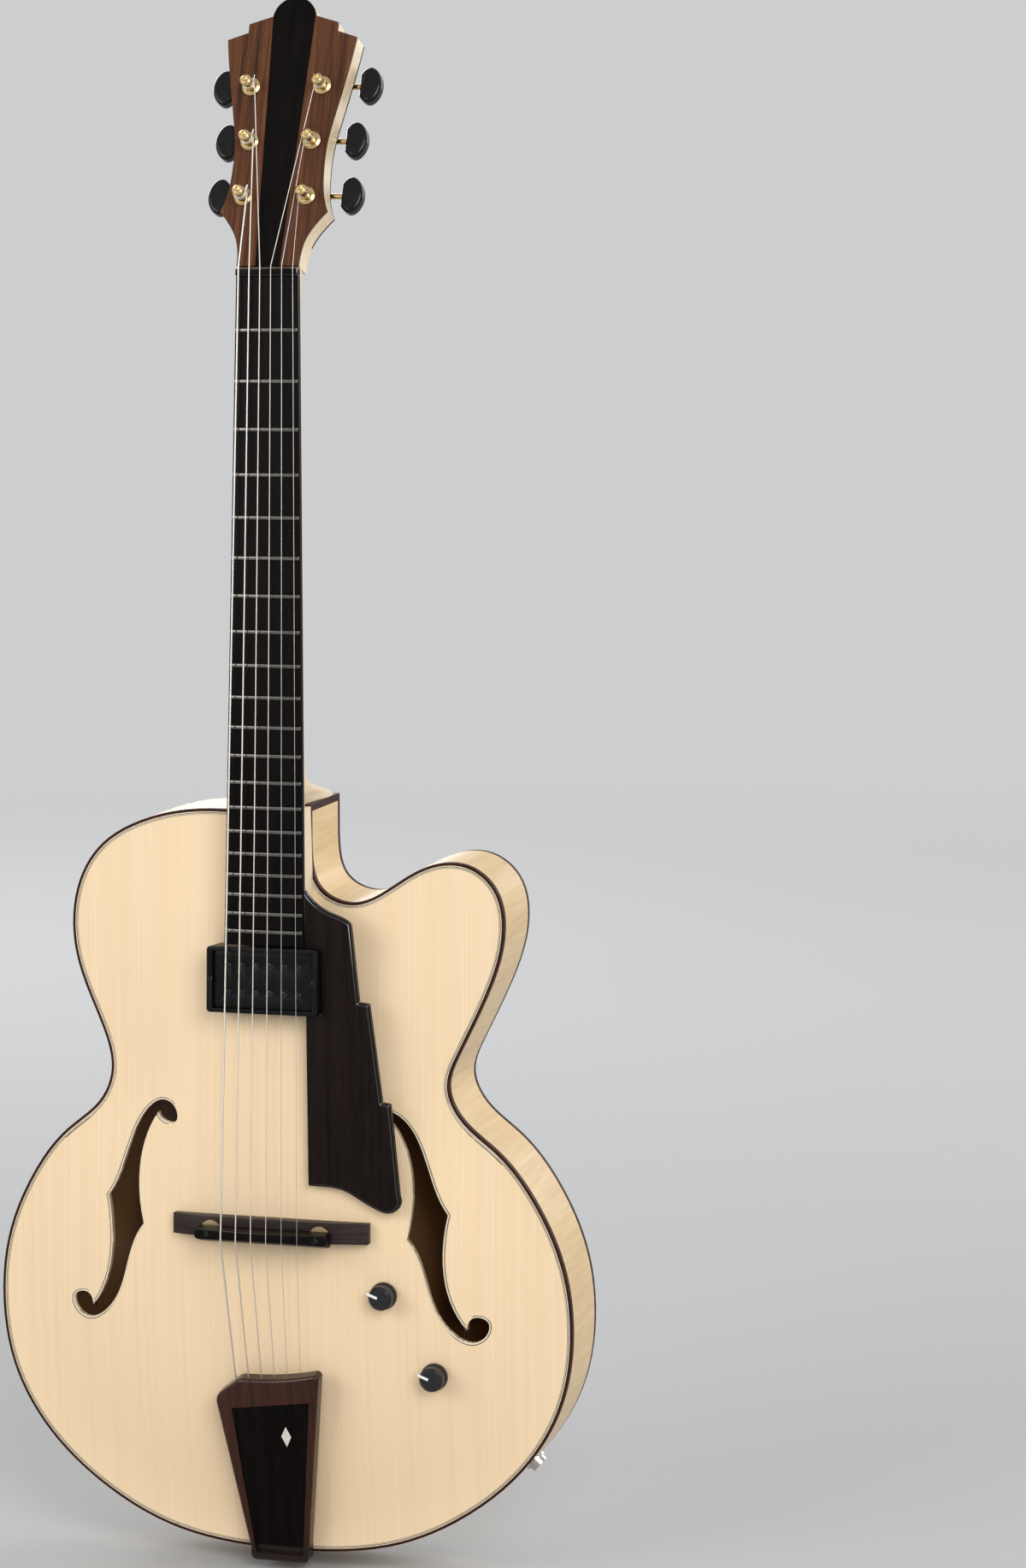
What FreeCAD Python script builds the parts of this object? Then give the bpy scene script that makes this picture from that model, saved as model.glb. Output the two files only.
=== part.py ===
import FreeCAD, Part
import math
import os

# Archtop guitar with one cutaway, in millimetres.
# +Z runs up the neck, the front faces -Y and +X is the treble side.
# The origin is on the centre line where the strings leave the nut, in the plane of the body's front edge.

V = FreeCAD.Vector
ORIGIN = V(0, 0, 0)
ACROSS = V(1, 0, 0)
BACKWARD = V(0, 1, 0)
UPWARD = V(0, 0, 1)

# Fits
GLUE_LINE = 0.1
RUNNING_GAP = 0.05
FREE_GAP = 0.4
REST_GAP = 0.12
OVERRUN = 30.0

# Playing geometry
SCALE_LENGTH = 635.0
FRET_COUNT = 20
JOINT_FRET = 14
NECK_ANGLE = 3.45
HEAD_ANGLE = 17.0
BRIDGE_SETBACK = 3.0
STRING_DIAMETERS = (1.32, 1.07, 0.81, 0.61, 0.43, 0.33)
WOUND_COUNT = 4
NUT_SPREAD = 37.6
BRIDGE_SPREAD = 54.0
TAIL_SPREAD = 46.8
STRING_BEND_RADIUS = 9.0
STRING_TAIL = 5.0
STRING_BREAK = 1.4
WRAP_TURNS = 2
WRAP_AIR = 0.62
WRAP_START = 4.4

# Fingerboard, frets and nut
BOARD_THICKNESS = 6.0
BOARD_RADIUS = 305.0
NUT_WIDTH = 43.2
BOARD_END_WIDTH = 56.0
BOARD_OVERHANG = 9.5
FRET_WIDTH = 2.5
FRET_HEIGHT = 1.2
FRET_END_INSET = 0.4
NUT_LENGTH = 5.0
NUT_HEIGHT = 1.8

# Neck and heel
NECK_INSET = 0.3
NECK_DEPTH_AT_NUT = 21.5
NECK_DEPTH_AT_HEEL = 24.5
HEAD_ROOT = 28.0
HEEL_LENGTH = 42.0
HEEL_PLATE = 5.0
HEEL_PLATE_ROUND = 7.0
HEEL_BACK_INSET = 1.0
TONGUE_INSET = 0.8
TONGUE_END = 6.0
ROD_RADIUS = 2.5
ROD_COVER = 1.5
ROD_END = 12.0
SECTION_POINTS = 6

# Headstock
HEAD_STEP = 2.0
HEAD_THICKNESS = 15.0
HEAD_LENGTH = 183.5
HEAD_WIDTH = 91.0
CROWN_RISE = 13.5
STRIPE_NUT_WIDTH = 17.0
STRIPE_TOP_WIDTH = 30.0
HEADPLATE = 2.2
BACKPLATE = 1.6
TONGUE_LENGTH = 44.0
TONGUE_WIDTH = 20.0

# Tuning machines
POST_RADIUS = 3.0
POST_STANDOUT = 13.0
POST_CAP_RADIUS = 3.9
POST_WAIST_RADIUS = 2.5
POST_BACK = 7.2
POST_ROWS = (133.0, 94.0, 55.0)
POST_SPREADS = (50.0, 43.6, 44.0)
BUSHING_RADIUS = 4.6
BUSHING_DEPTH = 8.0
BUSHING_FLANGE_RADIUS = 6.3
BUSHING_FLANGE = 2.2
GEAR_RADIUS = 4.9
GEAR_THICKNESS = 4.6
GEAR_TEETH = 14
GEAR_TOOTH = 0.7
WORM_OFFSET = 8.0
WORM_RADIUS = 2.5
WORM_LENGTH = 11.0
WORM_DEPTH = 4.6
SHAFT_RADIUS = 1.9
HOUSING_WALL = 1.2
HOUSING_DEPTH = 9.4
EAR_RADIUS = 3.2
EAR_THICKNESS = 1.6
EAR_OFFSET = 9.6
EAR_DROP = 5.2
SCREW_RADIUS = 1.2
SCREW_HEAD_RADIUS = 2.3
SCREW_HEAD = 1.2
SCREW_LENGTH = 7.0
BUTTON_SPREADS = (104.4, 92.4, 94.4)
BUTTON_WIDTH = 15.0
BUTTON_HEIGHT = 25.0
BUTTON_THICKNESS = 9.0
BUTTON_EDGE = 2.6
BUTTON_SOCKET = 9.0

# Body
BODY_SETBACK = 4.5
BODY_LENGTH = 513.0
LOWER_BOUT = 411.0
CUTAWAY_WALL = 25.5
RIM_DEPTH = 62.0
RIM_WALL = 2.4
TOP_THICKNESS = 4.2
BACK_THICKNESS = 4.2
TOP_RISE = 17.0
BACK_RISE = 15.0
EDGE_FLAT = 8.0
ARCH_CELL = 10.0
ARCH_SWEEPS = 260
ARCH_OVER_RELAX = 1.85
SMOOTHING_PASSES = 2
OUTLINE_STATIONS = 150
BINDING_WIDTH = 2.6
LINING_WIDTH = 6.0
LINING_DEPTH = 11.0
NECK_BLOCK_WIDTH = 50.0
NECK_BLOCK_LENGTH = 42.0
TAIL_BLOCK_WIDTH = 72.0
TAIL_BLOCK_LENGTH = 22.0
TONE_BAR_WIDTH = 8.0
TONE_BAR_HEIGHT = 12.0
TONE_BAR_SPREAD = 66.0
TONE_BAR_LENGTH = 290.0

# Sound holes
F_HOLE_LENGTH = 156.0
F_HOLE_WIDTH = 77.0
F_HOLE_SPREAD = 216.0
F_HOLE_RAISE = 3.5

# Bridge
BRIDGE_LENGTH = 139.0
BRIDGE_WIDTH = 14.0
BRIDGE_END_HEIGHT = 6.0
SADDLE_HEIGHT = 6.5
SADDLE_BODY = 12.5
SADDLE_LENGTH = 94.0
SADDLE_WIDTH = 10.8
SADDLE_RIDGE = 5.6
SADDLE_RIDGE_FORWARD = 0.9
SADDLE_END_RADIUS = 4.0
SADDLE_SETBACK = 2.5
STUD_FORWARD = 0.5
STUD_SPREAD = 77.4
STUD_RADIUS = 2.0
STUD_SINK = 4.5
STUD_TOP_COVER = 2.0
WHEEL_RADIUS = 7.4
WHEEL_THICKNESS = 2.6
WHEEL_NOTCHES = 24
WHEEL_NOTCH_RADIUS = 0.5
LIFT_TRAVEL = 1.4

# Tailpiece
TAIL_LENGTH = 131.5
TAIL_TOP_STANDOFF = 35.5
TAIL_FOOT_STANDOFF = 12.0
TAIL_TOP_WIDTH = 75.0
TAIL_BASS_GAIN = 3.2
TAIL_FOOT_WIDTH = 41.0
TAIL_THICKNESS = 10.0
TAIL_CUT = 17.3
TAIL_CUT_ROUND = 9.0
TAIL_TIP = 4.0
TAIL_TIP_ROUND = 3.2
TAIL_EDGE_ROUND = 2.4
TAIL_BAND = 21.0
TAIL_BORDER = 8.5
TAIL_TREBLE_BORDER = 5.0
TAIL_FOOT_BORDER = 3.6
TAIL_INLAY = 2.4
TAIL_INLAY_SINK = 0.8
TAIL_FOOT_DEPTH = 26.0
TAIL_FOOT_THICKNESS = 6.5
TAIL_FOOT_ROUND = 6.0
TAIL_SCREW_SPREAD = 22.0
TAIL_SCREW_RADIUS = 1.6
TAIL_SCREW_HEAD_RADIUS = 3.2
TAIL_SCREW_HEAD = 1.6
TAIL_SCREW_LENGTH = 14.0
STRING_ANCHOR = 9.0

# Pickguard
GUARD_STANDOFF = 24.0
GUARD_THICKNESS = 4.5
GUARD_BEVEL = 1.6
GUARD_WIDTH = 64.0
GUARD_INNER_GAP = 0.6
GUARD_POST_RADIUS = 3.5

# Pickup
PICKUP_LENGTH = 70.0
PICKUP_WIDTH = 38.0
PICKUP_DEPTH = 13.0
PICKUP_SINK = 0.6
PICKUP_ROUND = 3.0
PICKUP_TRAVEL = 2.0
RING_BORDER = 4.2
RING_SIDE = 3.2
RING_FLANGE = 2.4
RING_SINK = -2.0
RING_GAP = 1.2
RING_ROUND = 2.5
EAR_LENGTH = 3.0
EAR_WIDTH = 10.0
EAR_HEIGHT = 3.0
EAR_SINK = 6.0
HEIGHT_SCREW_RADIUS = 0.9
HEIGHT_SCREW_HEAD_RADIUS = 1.7
HEIGHT_SCREW_HEAD = 0.9
POLE_RADIUS = 2.4
POLE_PROUD = 0.6
POLE_DEPTH = 5.0
POLE_SPREAD = 49.6
POLE_ROW_SPREAD = 18.2

# Controls, jack and strap button
KNOB_RADIUS = 9.2
KNOB_TOP_RADIUS = 8.2
KNOB_HEIGHT = 11.0
KNOB_CLEARANCE = 0.8
KNOB_ROUND = 1.6
KNOB_SKIRT = 2.0
POT_SHAFT_RADIUS = 3.0
POT_SHAFT_COVER = 3.0
POT_BUSHING_RADIUS = 3.8
POT_CASE_RADIUS = 11.5
POT_CASE_DEPTH = 9.0
POT_CASE_DROP = 6.0
JACK_BORE_RADIUS = 3.2
JACK_BARREL_RADIUS = 5.0
JACK_FLANGE_RADIUS = 8.0
JACK_FLANGE = 1.6
JACK_NUT_RADIUS = 6.4
JACK_NUT = 3.6
JACK_REACH = 22.0
STRAP_STEM_RADIUS = 3.4
STRAP_WAIST_RADIUS = 4.2
STRAP_RIM_RADIUS = 6.8
STRAP_LENGTH = 13.0
STRAP_SINK = 14.0
STRAP_BACK_INSET = 17.0

# Shares of sizes that are chosen by eye
# Cutaway edge, from the heel corner to the waist: shares of half the lower bout and of the body length
CUTAWAY_SHARES = (
    (0.124, 0.055), (0.156, 0.100), (0.258, 0.118), (0.389, 0.0975), (0.521, 0.067), (0.650, 0.063),
    (0.749, 0.0925), (0.779, 0.148), (0.720, 0.234), (0.623, 0.314))
# Waist to the end of the body, the same on both sides
LOWER_SHARES = (
    (0.589, 0.356), (0.628, 0.396), (0.749, 0.439), (0.876, 0.502), (0.978, 0.598), (1.0, 0.671),
    (0.9586, 0.778), (0.837, 0.862), (0.652, 0.929), (0.409, 0.979))
# Bass side from the waist up to the neck
SHOULDER_SHARES = (
    (0.618, 0.298), (0.703, 0.2066), (0.716, 0.160), (0.667, 0.082), (0.603, 0.0497), (0.482, 0.0205),
    (0.345, 0.0045))
SHOULDER_END_SHARE = 0.175
# An f-shaped sound hole between its cusps and notches: shares of half its width and half its length
F_INNER_SHARES = ((0.63, 0.883), (0.39, 0.66), (0.26, 0.27), (0.355, -0.11))
F_LOWER_SHARES = (
    (0.355, -0.11), (0.057, -0.413), (-0.195, -0.777), (-0.486, -0.945), (-0.777, -1.005), (-1.03, -0.93),
    (-1.06, -0.82), (-0.92, -0.777), (-0.69, -0.891))
F_OUTER_SHARES = ((-0.69, -0.891), (-0.40, -0.641), (-0.273, -0.30), (-0.355, 0.11))
F_UPPER_SHARES = (
    (-0.355, 0.11), (-0.06, 0.41), (0.17, 0.72), (0.43, 0.915), (0.74, 0.995), (0.985, 0.92), (0.985, 0.815),
    (0.845, 0.80), (0.63, 0.883))
# Headstock edge from the nut to the shoulder corner: shares of half its width and of its length
HEAD_SHARES = (
    (0.475, 0.035), (0.482, 0.080), (0.535, 0.138), (0.680, 0.200))
HEAD_TIP_SHARE = (0.825, 0.243)
HEAD_SIDE_SHARES = ((0.745, 0.300), (0.702, 0.400), (0.705, 0.490), (0.790, 0.620), (0.900, 0.760))
HEAD_CORNER_SHARE = (1.0, 0.912)
HEAD_STEP_SHARES = ((0.690, 0.938), (0.690, 0.972))
# Back veneer of the head: width of its tongue towards the tip, and its edge above the neck as
# shares of half the head's width and of its length
TONGUE_SHARES = ((0.80, 0.0), (0.53, 0.295), (0.44, 0.47), (0.31, 0.82))
CHEEK_SHARES = ((0.60, 0.155), (0.43, 0.098), (0.335, 0.058), (0.262, 0.018), (0.21, -0.05))
# Squareness of the neck where it meets the head
HEAD_ROOT_SHARE = 4.0
# Heel flare: share of the heel's length, share of its depth gained and squareness of its section
HEEL_SHARES = (
    (0.0, 0.0, 2.0), (0.25, 0.04, 2.1), (0.42, 0.13, 2.5), (0.53, 0.29, 3.4), (0.61, 0.56, 5.0),
    (0.68, 0.82, 7.0), (0.76, 0.96, 9.0), (0.87, 1.0, 10.0), (1.0, 1.0, 10.0))
# Tailpiece top: where the cut bass corner ends across it, then its rise there and at the hollow
TAIL_CUT_SHARE = -0.52
TAIL_DIP_SHARES = (-0.75, 0.16, -0.50)
# Pickguard edge, down the outer side: shares of its width and of the way from the body's top to the bridge
GUARD_CURVE_SHARES = ((0.0, 0.176), (0.11, 0.206), (0.27, 0.228), (0.41, 0.240))
GUARD_STEP_SHARES = (
    (0.50, 0.254), (0.58, 0.441), (0.69, 0.444), (0.82, 0.680), (0.91, 0.683), (1.0, 0.905))
GUARD_FOOT_SHARES = (
    (0.985, 0.935), (0.88, 0.949), (0.75, 0.943), (0.56, 0.921), (0.37, 0.899), (0.18, 0.893))
GUARD_END_SHARE = 0.893
GUARD_POST_SHARE = (0.62, 0.66)
# Control places on the top: shares of half the lower bout and of the way from the bridge to the body's end
VOLUME_SHARE = (0.384, 0.187)
TONE_SHARE = (0.549, 0.423)
JACK_SHARE = 0.401
RIM_MIDDLE_SHARE = 0.47
POST_CAP_SHARE = 0.28
BUTTON_SHOULDER_SHARE = 0.62
TONE_BAR_DROP_SHARE = 0.24

BOARD_LENGTH = SCALE_LENGTH * (1 - 2 ** (-FRET_COUNT / 12)) + BOARD_OVERHANG
JOINT_PLACE = SCALE_LENGTH * (1 - 2 ** (-JOINT_FRET / 12))
BRIDGE_PLACE = SCALE_LENGTH + BRIDGE_SETBACK
SADDLE_PLACE = BRIDGE_PLACE + SADDLE_SETBACK
HALF_BOUT = LOWER_BOUT / 2
STRING_COUNT = len(STRING_DIAMETERS)

NECK = FreeCAD.Placement(ORIGIN, FreeCAD.Rotation(ACROSS, -NECK_ANGLE))
HEAD = NECK.multiply(FreeCAD.Placement(V(0, HEAD_STEP, 0), FreeCAD.Rotation(ACROSS, -HEAD_ANGLE)))

BODY_TOP = NECK.multVec(V(0, 0, -JOINT_PLACE)).z - BODY_SETBACK
BODY_END = BODY_TOP - BODY_LENGTH
BRIDGE_Z = NECK.multVec(V(0, 0, -BRIDGE_PLACE)).z

TAIL_TOP_Z = BODY_END + TAIL_LENGTH
TAIL_LEAN = math.degrees(math.atan((TAIL_TOP_STANDOFF - TAIL_FOOT_STANDOFF) / TAIL_LENGTH))
TAIL = FreeCAD.Placement(V(0, -TAIL_TOP_STANDOFF, TAIL_TOP_Z), FreeCAD.Rotation(ACROSS, TAIL_LEAN))


# Small helpers

def placed(shape, placement):
    moved = shape.copy()
    moved.Placement = placement.multiply(moved.Placement)
    return moved


def box(low, high):
    return Part.makeBox(high.x - low.x, high.y - low.y, high.z - low.z, low)


def rod(radius, start, end):
    return Part.makeCylinder(radius, (end - start).Length, start, end - start)


def drill(radius, place, way):
    """A rod that reaches well past a wall at place, on both sides."""
    return rod(radius, place - way * OVERRUN, place + way * OVERRUN)


def sleeve(outer, inner, start, end):
    return rod(outer, start, end).cut(rod(inner, start, end))


def fused(shapes):
    return shapes[0].multiFuse(shapes[1:]).removeSplitter()


def curve_through(points):
    curve = Part.BSplineCurve()
    curve.interpolate(Points=points)
    return curve


def smooth_edge(points):
    return curve_through(points).toShape()


def straight(start, end):
    return Part.LineSegment(start, end).toShape()


def polyline(points):
    return [straight(a, b) for a, b in zip(points, points[1:])]


def edges_at(solid, place):
    """The edges of a solid whose middle lies at a place."""
    return [edge for edge in solid.Edges if (edge.CenterOfMass - place).Length < REST_GAP]


def plate(edges, front, back):
    """A flat plate with the given edge, from one depth to another."""
    face = Part.Face(Part.Wire(Part.__sortEdges__(edges)))
    face.translate(V(0, front, 0))
    return face.extrude(V(0, back - front, 0))


def turned(profile, axis_start, axis_way):
    """A solid turned from (radius, distance) pairs about an axis."""
    side = axis_way.cross(UPWARD)
    if side.Length < axis_way.Length / 2:
        side = axis_way.cross(ACROSS)
    side.normalize()
    points = [axis_start + side * r + axis_way * d for r, d in profile]
    return Part.Face(Part.makePolygon(points + points[:1])).revolve(axis_start, axis_way, 360)


def board_half_width(place):
    return (NUT_WIDTH + (BOARD_END_WIDTH - NUT_WIDTH) * place / BOARD_LENGTH) / 2


def crown_drop(x):
    return BOARD_RADIUS - math.sqrt(BOARD_RADIUS ** 2 - x ** 2)


def crown_rod(height, top, bottom):
    """The round of the fingerboard, raised by height, as one long cylinder."""
    radius = BOARD_RADIUS + height
    return rod(radius, V(0, BOARD_RADIUS, bottom), V(0, BOARD_RADIUS, top))


def string_x(index, spread):
    return spread * (index / (STRING_COUNT - 1) - 0.5)


# Body outline and arch

def body_place(share, side):
    return V(side * share[0] * HALF_BOUT, 0, BODY_TOP - share[1] * BODY_LENGTH)


def body_curve():
    points = [V(CUTAWAY_WALL, 0, BODY_TOP)]
    points += [body_place(share, 1) for share in CUTAWAY_SHARES + LOWER_SHARES]
    points.append(V(0, 0, BODY_END))
    points += [body_place(share, -1) for share in LOWER_SHARES[::-1] + SHOULDER_SHARES]
    points.append(V(-SHOULDER_END_SHARE * HALF_BOUT, 0, BODY_TOP))
    return curve_through(points)


BODY_CURVE = body_curve()


def inset_points(inset):
    """Points along the body's edge, moved inwards by inset, from the heel corner to the bass shoulder."""
    first = BODY_CURVE.FirstParameter
    step = (BODY_CURVE.LastParameter - first) / OUTLINE_STATIONS
    points = []
    for station in range(OUTLINE_STATIONS + 1):
        place = BODY_CURVE.value(first + step * station)
        way = BODY_CURVE.tangent(first + step * station)[0]
        points.append(place + V(way.z, 0, -way.x) * inset)
    points[0] = points[0] - UPWARD * inset
    return points


def body_edges(inset):
    if inset == 0:
        curve = BODY_CURVE
    else:
        curve = curve_through(inset_points(inset))
    return [curve.toShape(), straight(curve.EndPoint, curve.StartPoint)]


def body_slab(inset, front, back):
    return plate(body_edges(inset), front, back)


def body_ring(outer, inner, front, back):
    return body_slab(outer, front, back).cut(body_slab(inner, front, back))


def is_inside(x, z, corners):
    inside = False
    for a, b in zip(corners, corners[1:] + corners[:1]):
        if (a.z > z) != (b.z > z) and x < a.x + (b.x - a.x) * (z - a.z) / (b.z - a.z):
            inside = not inside
    return inside


def relaxed_membrane(columns, rows, left, low):
    """Heights of a skin blown up over the body's outline, as shares of its highest point."""
    corners = inset_points(EDGE_FLAT)
    free = [(i, j) for i in range(1, columns - 1) for j in range(1, rows - 1)
            if is_inside(left + i * ARCH_CELL, low + j * ARCH_CELL, corners)]
    skin = [[0.0] * rows for _ in range(columns)]
    for _ in range(ARCH_SWEEPS):
        for i, j in free:
            pull = (skin[i - 1][j] + skin[i + 1][j] + skin[i][j - 1] + skin[i][j + 1] + 1) / 4
            skin[i][j] += ARCH_OVER_RELAX * (pull - skin[i][j])
    highest = max(max(column) for column in skin)
    return [[(h / highest) ** 2 * (3 - 2 * h / highest) for h in column] for column in skin]


def eased(grid):
    """The grid with each inner height averaged with its neighbours."""
    result = [column[:] for column in grid]
    for i in range(1, len(grid) - 1):
        for j in range(1, len(grid[0]) - 1):
            around = grid[i - 1][j] + grid[i + 1][j] + grid[i][j - 1] + grid[i][j + 1]
            result[i][j] = (4 * grid[i][j] + around) / 8
    return result


def arch_grid():
    columns = 2 * (int(HALF_BOUT / ARCH_CELL) + 2) + 1
    rows = 2 * (int(BODY_LENGTH / ARCH_CELL / 2) + 2) + 1
    left = -ARCH_CELL * (columns - 1) / 2
    low = (BODY_TOP + BODY_END) / 2 - ARCH_CELL * (rows - 1) / 2
    grid = relaxed_membrane(columns, rows, left, low)
    for _ in range(SMOOTHING_PASSES):
        grid = eased(grid)
    return grid, left, low


ARCH, ARCH_LEFT, ARCH_LOW = arch_grid()


def arch_share(x, z):
    """The arch's height at a place, as a share of its rise."""
    i = (x - ARCH_LEFT) / ARCH_CELL
    j = (z - ARCH_LOW) / ARCH_CELL
    column = int(i)
    row = int(j)
    a = i - column
    b = j - row
    near = ARCH[column][row] * (1 - b) + ARCH[column][row + 1] * b
    far = ARCH[column + 1][row] * (1 - b) + ARCH[column + 1][row + 1] * b
    return near * (1 - a) + far * a


def arch_face(base, rise):
    """The arched surface over every second grid point; a negative rise bulges to the front."""
    points = []
    for i in range(0, len(ARCH), 2):
        x = ARCH_LEFT + i * ARCH_CELL
        points.append([V(x, base + rise * ARCH[i][j], ARCH_LOW + j * ARCH_CELL)
                       for j in range(0, len(ARCH[0]), 2)])
    surface = Part.BSplineSurface()
    surface.interpolate(points)
    return surface.toShape()


def behind_top(offset):
    """All the space behind the top's outer surface, moved back by offset."""
    return arch_face(offset, -TOP_RISE).extrude(V(0, LOWER_BOUT, 0))


ABOVE_TOP = behind_top(-GLUE_LINE)


# Body pieces

def f_hole_edges(side):
    centre = V(side * F_HOLE_SPREAD / 2, 0, BRIDGE_Z + F_HOLE_RAISE)
    edges = []
    for shares in (F_INNER_SHARES, F_LOWER_SHARES, F_OUTER_SHARES, F_UPPER_SHARES):
        points = [V(-side * x * F_HOLE_WIDTH / 2, 0, z * F_HOLE_LENGTH / 2) for x, z in shares]
        edges.append(smooth_edge([centre + point for point in points]))
    return edges


def control_place(share):
    x = share[0] * HALF_BOUT
    z = BRIDGE_Z + share[1] * (BODY_END - BRIDGE_Z)
    return V(x, -TOP_RISE * arch_share(x, z), z)


CONTROL_PLACES = (control_place(VOLUME_SHARE), control_place(TONE_SHARE))


def make_top_plate():
    arch = arch_face(0, -TOP_RISE).extrude(V(0, TOP_THICKNESS, 0))
    top = arch.common(body_slab(BINDING_WIDTH + GLUE_LINE, -TOP_RISE - OVERRUN, OVERRUN))
    for side in (-1, 1):
        top = top.cut(plate(f_hole_edges(side), -TOP_RISE - OVERRUN, OVERRUN))
    for place in CONTROL_PLACES:
        top = top.cut(drill(POT_BUSHING_RADIUS + GLUE_LINE, place, BACKWARD))
    return top


def make_back_plate():
    arch = arch_face(RIM_DEPTH - BACK_THICKNESS, BACK_RISE).extrude(V(0, BACK_THICKNESS, 0))
    return arch.common(body_slab(BINDING_WIDTH + GLUE_LINE, 0, RIM_DEPTH + BACK_RISE + OVERRUN))


RIM_FRONT = TOP_THICKNESS + GLUE_LINE
RIM_BACK = RIM_DEPTH - BACK_THICKNESS - GLUE_LINE


def jack_axis():
    """Where the jack leaves the rim, and the way out."""
    first = BODY_CURVE.FirstParameter
    spot = first + JACK_SHARE * (BODY_CURVE.LastParameter - first)
    way = BODY_CURVE.tangent(spot)[0]
    place = BODY_CURVE.value(spot) + BACKWARD * (RIM_DEPTH * RIM_MIDDLE_SHARE)
    return place, V(-way.z, 0, way.x)


JACK_PLACE, JACK_WAY = jack_axis()


def make_rim():
    rim = body_ring(0, RIM_WALL, RIM_FRONT, RIM_BACK)
    hole = drill(JACK_BARREL_RADIUS + GLUE_LINE, JACK_PLACE, JACK_WAY)
    stem = drill(STRAP_STEM_RADIUS + GLUE_LINE, V(0, STRAP_Y, BODY_END), UPWARD)
    screws = [drill(TAIL_SCREW_RADIUS + GLUE_LINE, start, UPWARD)
              for start in tail_screw_places()]
    return rim.cut(fused_cutters([hole, stem] + screws))


def fused_cutters(shapes):
    return Part.makeCompound(shapes)


STRAP_Y = RIM_DEPTH - STRAP_BACK_INSET


def block_room():
    return body_slab(RIM_WALL + GLUE_LINE, RIM_FRONT, RIM_BACK)


def make_end_blocks():
    right = CUTAWAY_WALL - RIM_WALL - GLUE_LINE
    room = block_room()
    neck_block = box(V(right - NECK_BLOCK_WIDTH, 0, BODY_TOP - NECK_BLOCK_LENGTH),
                     V(right, RIM_DEPTH, BODY_TOP))
    half = TAIL_BLOCK_WIDTH / 2
    tail_block = box(V(-half, 0, BODY_END), V(half, RIM_DEPTH, BODY_END + TAIL_BLOCK_LENGTH))
    stem = rod(STRAP_STEM_RADIUS + GLUE_LINE, V(0, STRAP_Y, BODY_END - OVERRUN),
               V(0, STRAP_Y, BODY_END + STRAP_SINK + GLUE_LINE))
    screws = [rod(TAIL_SCREW_RADIUS + GLUE_LINE, start, start + UPWARD * (TAIL_SCREW_LENGTH + GLUE_LINE))
              for start in tail_screw_places()]
    return [neck_block.common(room), tail_block.common(room).cut(fused_cutters([stem] + screws))]


def make_linings(blocks):
    outer = RIM_WALL + GLUE_LINE
    inner = outer + LINING_WIDTH
    keep_out = []
    for block in blocks:
        bounds = block.BoundBox
        low = V(bounds.XMin - FREE_GAP, 0, bounds.ZMin - FREE_GAP)
        keep_out.append(box(low, V(bounds.XMax + FREE_GAP, RIM_DEPTH, bounds.ZMax + FREE_GAP)))
    jack = rod(JACK_FLANGE_RADIUS + FREE_GAP, JACK_PLACE - JACK_WAY * OVERRUN, JACK_PLACE)
    solids = []
    for front in (RIM_FRONT, RIM_BACK - LINING_DEPTH):
        ring = body_ring(outer, inner, front, front + LINING_DEPTH)
        solids += ring.cut(fused_cutters(keep_out + [jack])).Solids
    return solids


def make_tone_bars():
    front = arch_face(TOP_THICKNESS + GLUE_LINE, -TOP_RISE)
    room = front.extrude(V(0, TONE_BAR_HEIGHT, 0))
    top = BODY_TOP - TONE_BAR_DROP_SHARE * BODY_LENGTH
    bars = []
    for side in (-1, 1):
        x = side * TONE_BAR_SPREAD / 2
        low = V(x - TONE_BAR_WIDTH / 2, -TOP_RISE, top - TONE_BAR_LENGTH)
        bars.append(box(low, V(x + TONE_BAR_WIDTH / 2, OVERRUN, top)).common(room))
    return bars


def make_top_binding():
    return body_ring(0, BINDING_WIDTH, 0, TOP_THICKNESS)


def make_back_binding():
    return body_ring(0, BINDING_WIDTH, RIM_DEPTH - BACK_THICKNESS, RIM_DEPTH)


# Neck, head and fingerboard

def neck_section(place, half_width, depth, squareness):
    """A half-round neck section below the board, rounder or squarer, at a distance down from the nut."""
    count = 2 * SECTION_POINTS
    points = []
    for step in range(count + 1):
        angle = math.pi * step / count
        x = math.copysign(abs(math.cos(angle)) ** (2 / squareness), math.cos(angle))
        y = math.sin(angle) ** (2 / squareness)
        points.append(V(half_width * x, BOARD_THICKNESS + GLUE_LINE + (depth - BOARD_THICKNESS) * y, -place))
    arc = smooth_edge(points)
    return Part.Wire([arc, straight(points[-1], points[0])])


HEEL_END = JOINT_PLACE + BODY_SETBACK
HEEL_START = HEEL_END - HEEL_LENGTH
NECK_TOP = NUT_LENGTH + HEAD_THICKNESS / 2


def shaft_width(place):
    return board_half_width(max(place, 0)) - NECK_INSET


def make_shaft(skin):
    """The neck's shaft, with its back drawn in by skin."""
    start = neck_section(-NECK_TOP, shaft_width(0), NECK_DEPTH_AT_NUT - skin, HEAD_ROOT_SHARE)
    middle = neck_section(HEAD_ROOT, shaft_width(HEAD_ROOT), NECK_DEPTH_AT_NUT - skin, 2)
    end = neck_section(HEEL_START, shaft_width(HEEL_START), NECK_DEPTH_AT_HEEL - skin, 2)
    return Part.makeLoft([start, middle, end], True, True)


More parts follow.
